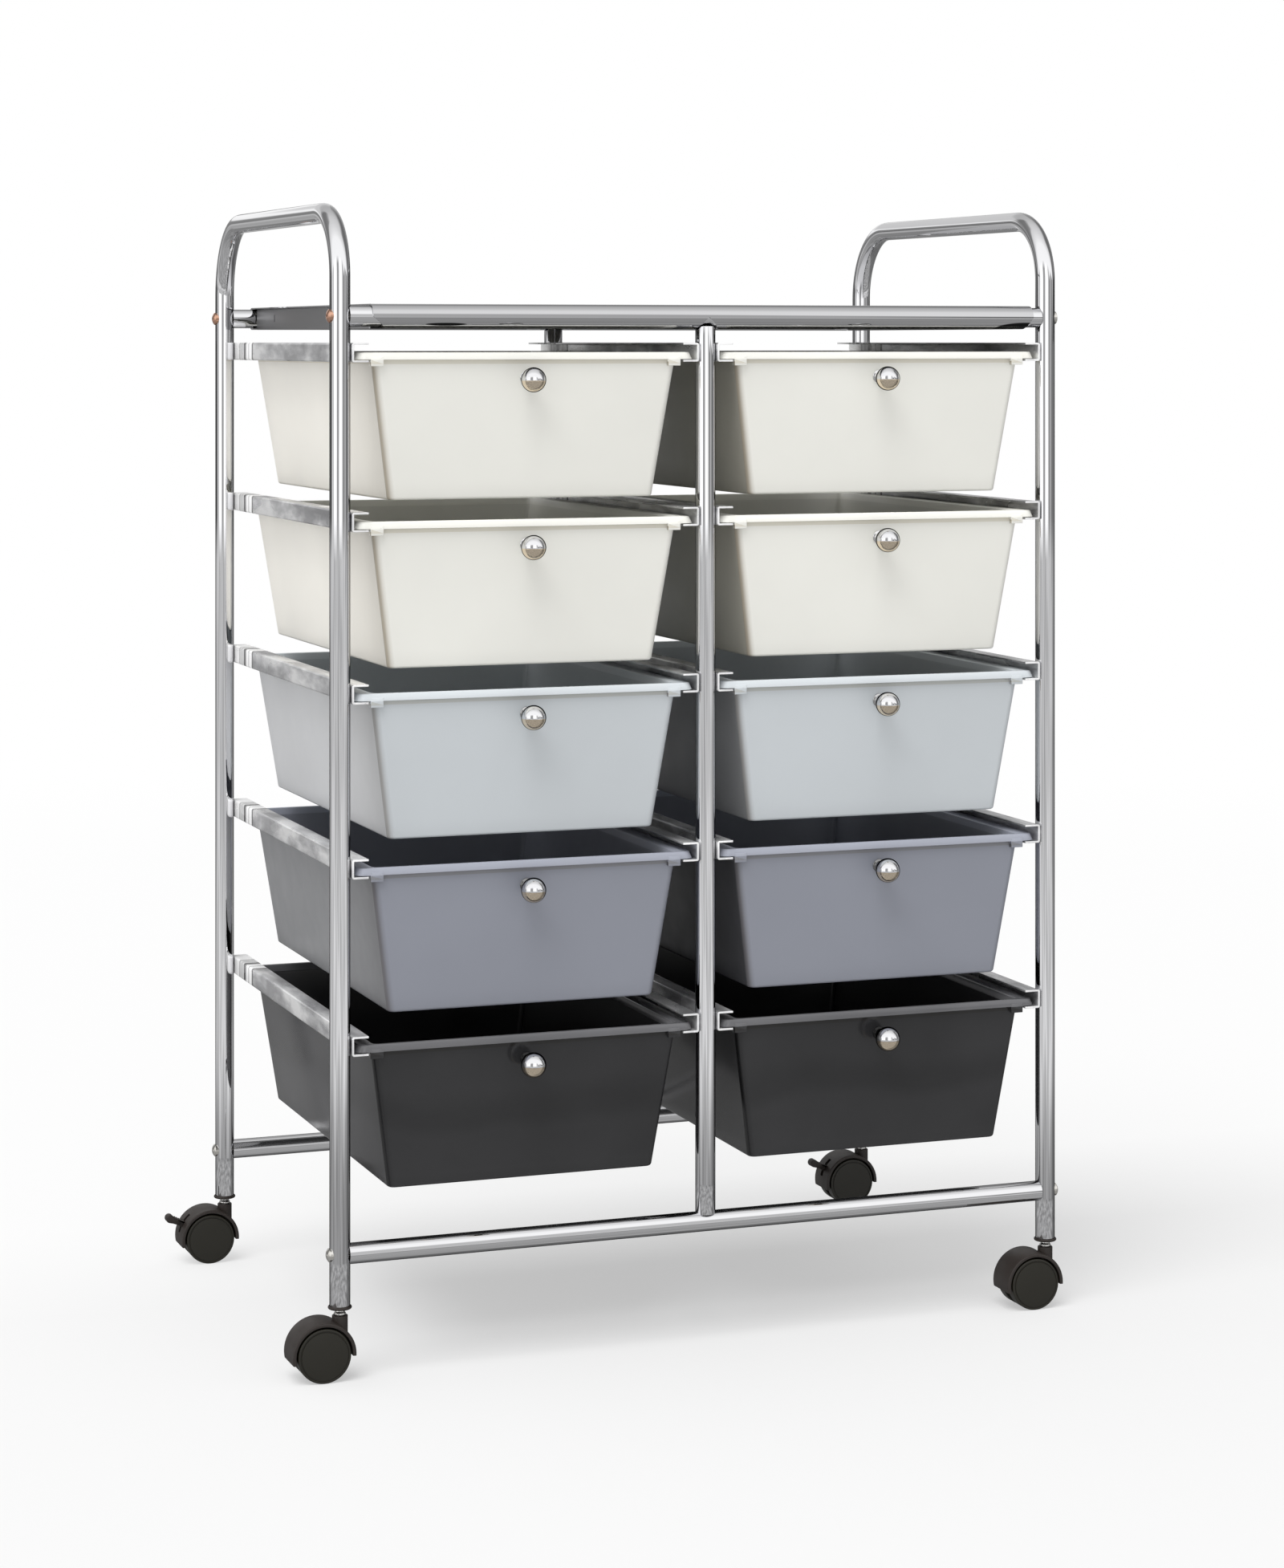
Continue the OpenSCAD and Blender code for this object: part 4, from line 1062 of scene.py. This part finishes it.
# Higher up: (degrees over the room from its front horizon to its back horizon, brightness), and
# how much of it is left at the sides: (degrees to the right of the front, share)
OVERHEAD_BANDS = ((0, 0.98), (61, 0.93), (71, 0.80), (80, 0.72), (88, 0.66), (101, 0.60), (120, 0.46),
                  (137, 0.42), (145, 0.45), (152, 0.58), (160, 0.56), (164, 0.62), (165.5, 0.88),
                  (168.5, 0.82), (171, 0.25), (174, 0.20), (178, 0.20), (180, 0.30))
OVERHEAD_SIDES = ((-180, 1.0), (-134, 1.0), (-128, 0.4), (-100, 0.4), (-92, 1.0), (88, 1.0), (98, 0.3),
                  (150, 0.35), (180, 0.7))
# Brightness of the ground: (degrees above the horizon, brightness), and its share at the sides
GROUND_BANDS = ((-90, 0.33), (-16, 0.33), (-13.6, 0.29), (-12.7, 0.33), (-12.47, 0.36), (-12.4, 0.10),
                (-12.33, 0.42), (-11.9, 0.50), (-11.2, 0.65), (-10.3, 0.58), (-9, 0.575), (-7.2, 0.49),
                (-4.5, 0.52), (90, 0.52))
GROUND_SIDES = ((-180, 0.6), (-125, 0.75), (-100, 1.0), (80, 1.0), (100, 0.5), (150, 0.4), (180, 0.5))

# Direction of the brightest part of the even light, and its brightness by the cosine to it
FRONT_LIGHT = (-0.60, -0.58, 0.55)
SKY_BANDS = ((-1, 0.45), (0, 0.66), (1, 1.6))
# Direction of the key lamp, and the width of its disc in degrees
KEY_LIGHT, KEY_SOFTNESS = (-0.40, -0.40, 1.0), 36


def make_world(settings):
    """Even light; white to the camera; to gloss a pale room with upright bands over a darker ground."""
    world = bpy.data.worlds.new("studio")
    bpy.context.scene.world = world
    world.use_nodes = True
    world.node_tree.nodes.clear()
    sky = NodeWriter(world.node_tree)
    turned = sky.node("Mapping", {"Rotation": (0, 0, settings.turn),
                                  "Vector": sky.node("TexCoord", output="Generated")})
    x, y, z = sky.xyz(turned)
    front = sky.times(y, -1.0)
    around, above = sky.degrees("ARCTAN2", x, front), sky.degrees("ARCSINE", z)
    over = sky.degrees("ARCTAN2", z, front)
    near_zenith = sky.ramp(above, -90, 90, ((45, 0.0), (60, 1.0)))
    sides = sky.mix(near_zenith, sky.ramp(around, -180, 180, OVERHEAD_SIDES), WHITE)
    overhead = sky.scaled(sky.ramp(over, 0, 180, OVERHEAD_BANDS), sides)
    line = sky.ramp(around, -180, 180, ((42, 0.0), (46, 1.0), (54, 1.0), (58, 0.0)))
    high = sky.ramp(sky.math("MULTIPLY_ADD", line, 16.0, over), -180, 180, ((20, 0.0), (32, 1.0)))
    room = sky.mix(high, sky.ramp(around, -180, 180, ROOM_BANDS), overhead)
    wave = sky.math("COSINE", sky.times(around, 4 * math.pi / 180))
    ground = sky.ramp(sky.math("MULTIPLY_ADD", wave, -0.45, above), -90, 90, GROUND_BANDS)
    ground = sky.scaled(ground, sky.ramp(around, -180, 180, GROUND_SIDES))
    polar = sky.node("CombineXYZ", {"X": around, "Y": above})
    ground = sky.scaled(ground, sky.remap(sky.noise(polar, 1.0, 2.0, (0.045, 0.33, 1)), 0.62, 1.34))
    horizon = sky.ramp(above, -90, 90, ((-3.47, 1.0), (-3.37, 0.0)))
    bright = sky.ramp(sky.dot(turned, FRONT_LIGHT), -1, 1, SKY_BANDS)
    even = sky.node("Background", {"Color": bright, "Strength": settings.sky})
    seen = sky.mix(horizon, room, ground)
    mirrored = sky.node("Background", {"Color": seen, "Strength": settings.room})
    white = sky.node("Background", {"Color": WHITE})
    gloss = sky.mix_shader(sky.node("LightPath", output="Is Glossy Ray"), even, mirrored)
    camera = sky.mix_shader(sky.node("LightPath", output="Is Camera Ray"), gloss, white)
    sky.node("OutputWorld", {"Surface": camera})


def make_floor(settings):
    """Pale floor that keeps the shadow in front of and under the cart; behind the cart painted light
    whitens the shadow, and further away the floor fades to white. Gloss looks past it at the room's
    ground."""
    reach = 14.0
    mesh = bpy.data.meshes.new("floor")
    corners = [(x * reach, y * reach, 0) for x, y in ((-1, -1), (1, -1), (1, 1), (-1, 1))]
    mesh.from_pydata(corners, [], [(0, 1, 2, 3)])
    floor = add_object("floor", mesh)
    floor.visible_glossy = False
    made = Finish("floor_pale")
    made.paint({"Base Color": (0.72, 0.72, 0.72, 1), "Roughness": 0.9, "Specular IOR Level": 0.0})
    distance = made.node("VectorMath", {0: made.place}, "Value", operation="LENGTH")
    # Painted light: behind the cart the floor is lifted towards white over its shadow; further away it
    # fades to white
    fade = made.math("MAXIMUM", made.remap(distance, 0.0, 1.0, 0.8, 3.6),
                     made.remap(made.xyz(made.place)[1], 0.0, 0.62, 0.05, 0.33))
    lifted = made.math("MULTIPLY_ADD", fade, 1 - settings.floor_lift, settings.floor_lift)
    white = made.times(lifted, made.node("LightPath", output="Is Camera Ray"))
    mixed = made.mix_shader(white, made.shader.outputs["BSDF"], made.node("Emission"))
    made.fill(made.tree.nodes["Material Output"], {"Surface": mixed})
    mesh.materials.append(made.material)


def make_key_lamp(settings):
    """Sun lamp from the front left, with soft shadows and no mirror image."""
    data = bpy.data.lights.new("key_lamp", "SUN")
    data.energy, data.angle = settings.key_power, math.radians(KEY_SOFTNESS)
    lamp = add_object("key_lamp", data)
    lamp.rotation_euler = Vector(KEY_LIGHT).to_track_quat("Z", "Y").to_euler()
    lamp.visible_glossy = False


def make_camera(settings):
    """Level camera with a lens shift, as the photograph's upright lines are parallel."""
    data = bpy.data.cameras.new("camera")
    data.lens, data.shift_y = settings.lens, settings.rise
    camera = add_object("camera", data)
    camera.location = settings.eye
    camera.rotation_euler = (math.pi / 2, 0, -settings.turn)
    bpy.context.scene.camera = camera


# Operators

class CART_OT_stage(bpy.types.Operator):
    """Make the world, the floor, the lamp and the camera"""

    bl_idname = "cart.stage"
    bl_label = "Stage"

    def execute(self, context):
        settings = context.scene.cart_stage
        context.scene.view_settings.view_transform = "Standard"
        make_world(settings)
        make_floor(settings)
        make_key_lamp(settings)
        make_camera(settings)
        return {"FINISHED"}


class CART_OT_tubes(bpy.types.Operator):
    """Make the hoops, the rails and the centre posts"""

    bl_idname = "cart.tubes"
    bl_label = "Tubes"

    def execute(self, context):
        sizes = context.scene.cart_sizes
        for side in SIDES:
            make_hoop(side, sizes)
        for end in ENDS:
            make_center_post(end, sizes)
            for row in ("top", "bottom"):
                make_rail(end, row, sizes)
        return {"FINISHED"}


class CART_OT_shelf(bpy.types.Operator):
    """Make the top shelf"""

    bl_idname = "cart.shelf"
    bl_label = "Shelf"

    def execute(self, context):
        make_shelf(context.scene.cart_sizes)
        return {"FINISHED"}


class CART_OT_runners(bpy.types.Operator):
    """Make the runners of every level"""

    bl_idname = "cart.runners"
    bl_label = "Runners"

    def execute(self, context):
        for level in LEVELS:
            make_runners(level, context.scene.cart_sizes)
        return {"FINISHED"}


class CART_OT_drawers(bpy.types.Operator):
    """Make the drawers and their knobs"""

    bl_idname = "cart.drawers"
    bl_label = "Drawers"

    def execute(self, context):
        for side in SIDES:
            for level in LEVELS:
                make_drawer(side, level, context.scene.cart_sizes)
                make_knob(side, level, context.scene.cart_sizes)
        return {"FINISHED"}


class CART_OT_casters(bpy.types.Operator):
    """Make the plugs, stems, hoods, wheels and brake levers"""

    bl_idname = "cart.casters"
    bl_label = "Casters"

    def execute(self, context):
        make_plugs()
        make_stems()
        for end, side in CORNERS:
            make_hood(end, side)
            for near in ("near", "far"):
                make_wheel(end, side, near)
        for side in SIDES:
            make_lever(side)
        return {"FINISHED"}


class CART_OT_fasteners(bpy.types.Operator):
    """Make the rail screws and finish the inner steel pieces of the frame"""

    bl_idname = "cart.fasteners"
    bl_label = "Fasteners"

    def execute(self, context):
        make_screws()
        inner = {"rail_inserts": "insert_steel"}
        inner.update({f"axle_{end}_{side}": "stem_steel" for end, side in CORNERS})
        for node, slot in inner.items():
            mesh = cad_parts[node].data
            mesh.materials.clear()
            mesh.materials.append(finish(slot))
        return {"FINISHED"}


class CART_PT_panel(bpy.types.Panel):
    """Lists the pieces, their sizes and their colours"""

    bl_idname = "CART_PT_panel"
    bl_label = "Drawer cart"
    bl_space_type = "VIEW_3D"
    bl_region_type = "UI"
    bl_category = "Cart"

    def draw(self, context):
        for name in GROUPS:
            group, box = getattr(context.scene, name), self.layout.box()
            for key in group.__annotations__:
                box.prop(group, key)
        for operator in OPERATORS:
            self.layout.operator(operator.bl_idname)


GROUPS = {"cart_sizes": CartSizes, "cart_colours": CartColours, "cart_stage": StageSettings}
OPERATORS = (CART_OT_stage, CART_OT_tubes, CART_OT_shelf, CART_OT_runners, CART_OT_drawers,
             CART_OT_casters, CART_OT_fasteners)
CLASSES = (*GROUPS.values(), *OPERATORS, CART_PT_panel)


def register():
    """Registers the classes and hangs the settings on the scene."""
    for item in CLASSES:
        bpy.utils.register_class(item)
    for name, group in GROUPS.items():
        setattr(bpy.types.Scene, name, PointerProperty(type=group))


def unregister():
    """Takes the settings and the classes away again."""
    for name in GROUPS:
        delattr(bpy.types.Scene, name)
    for item in reversed(CLASSES):
        bpy.utils.unregister_class(item)


def main():
    register()
    bpy.ops.cart.stage()
    bpy.ops.cart.tubes()
    bpy.ops.cart.shelf()
    bpy.ops.cart.runners()
    bpy.ops.cart.drawers()
    bpy.ops.cart.casters()
    bpy.ops.cart.fasteners()


if __name__ == "__main__":
    main()
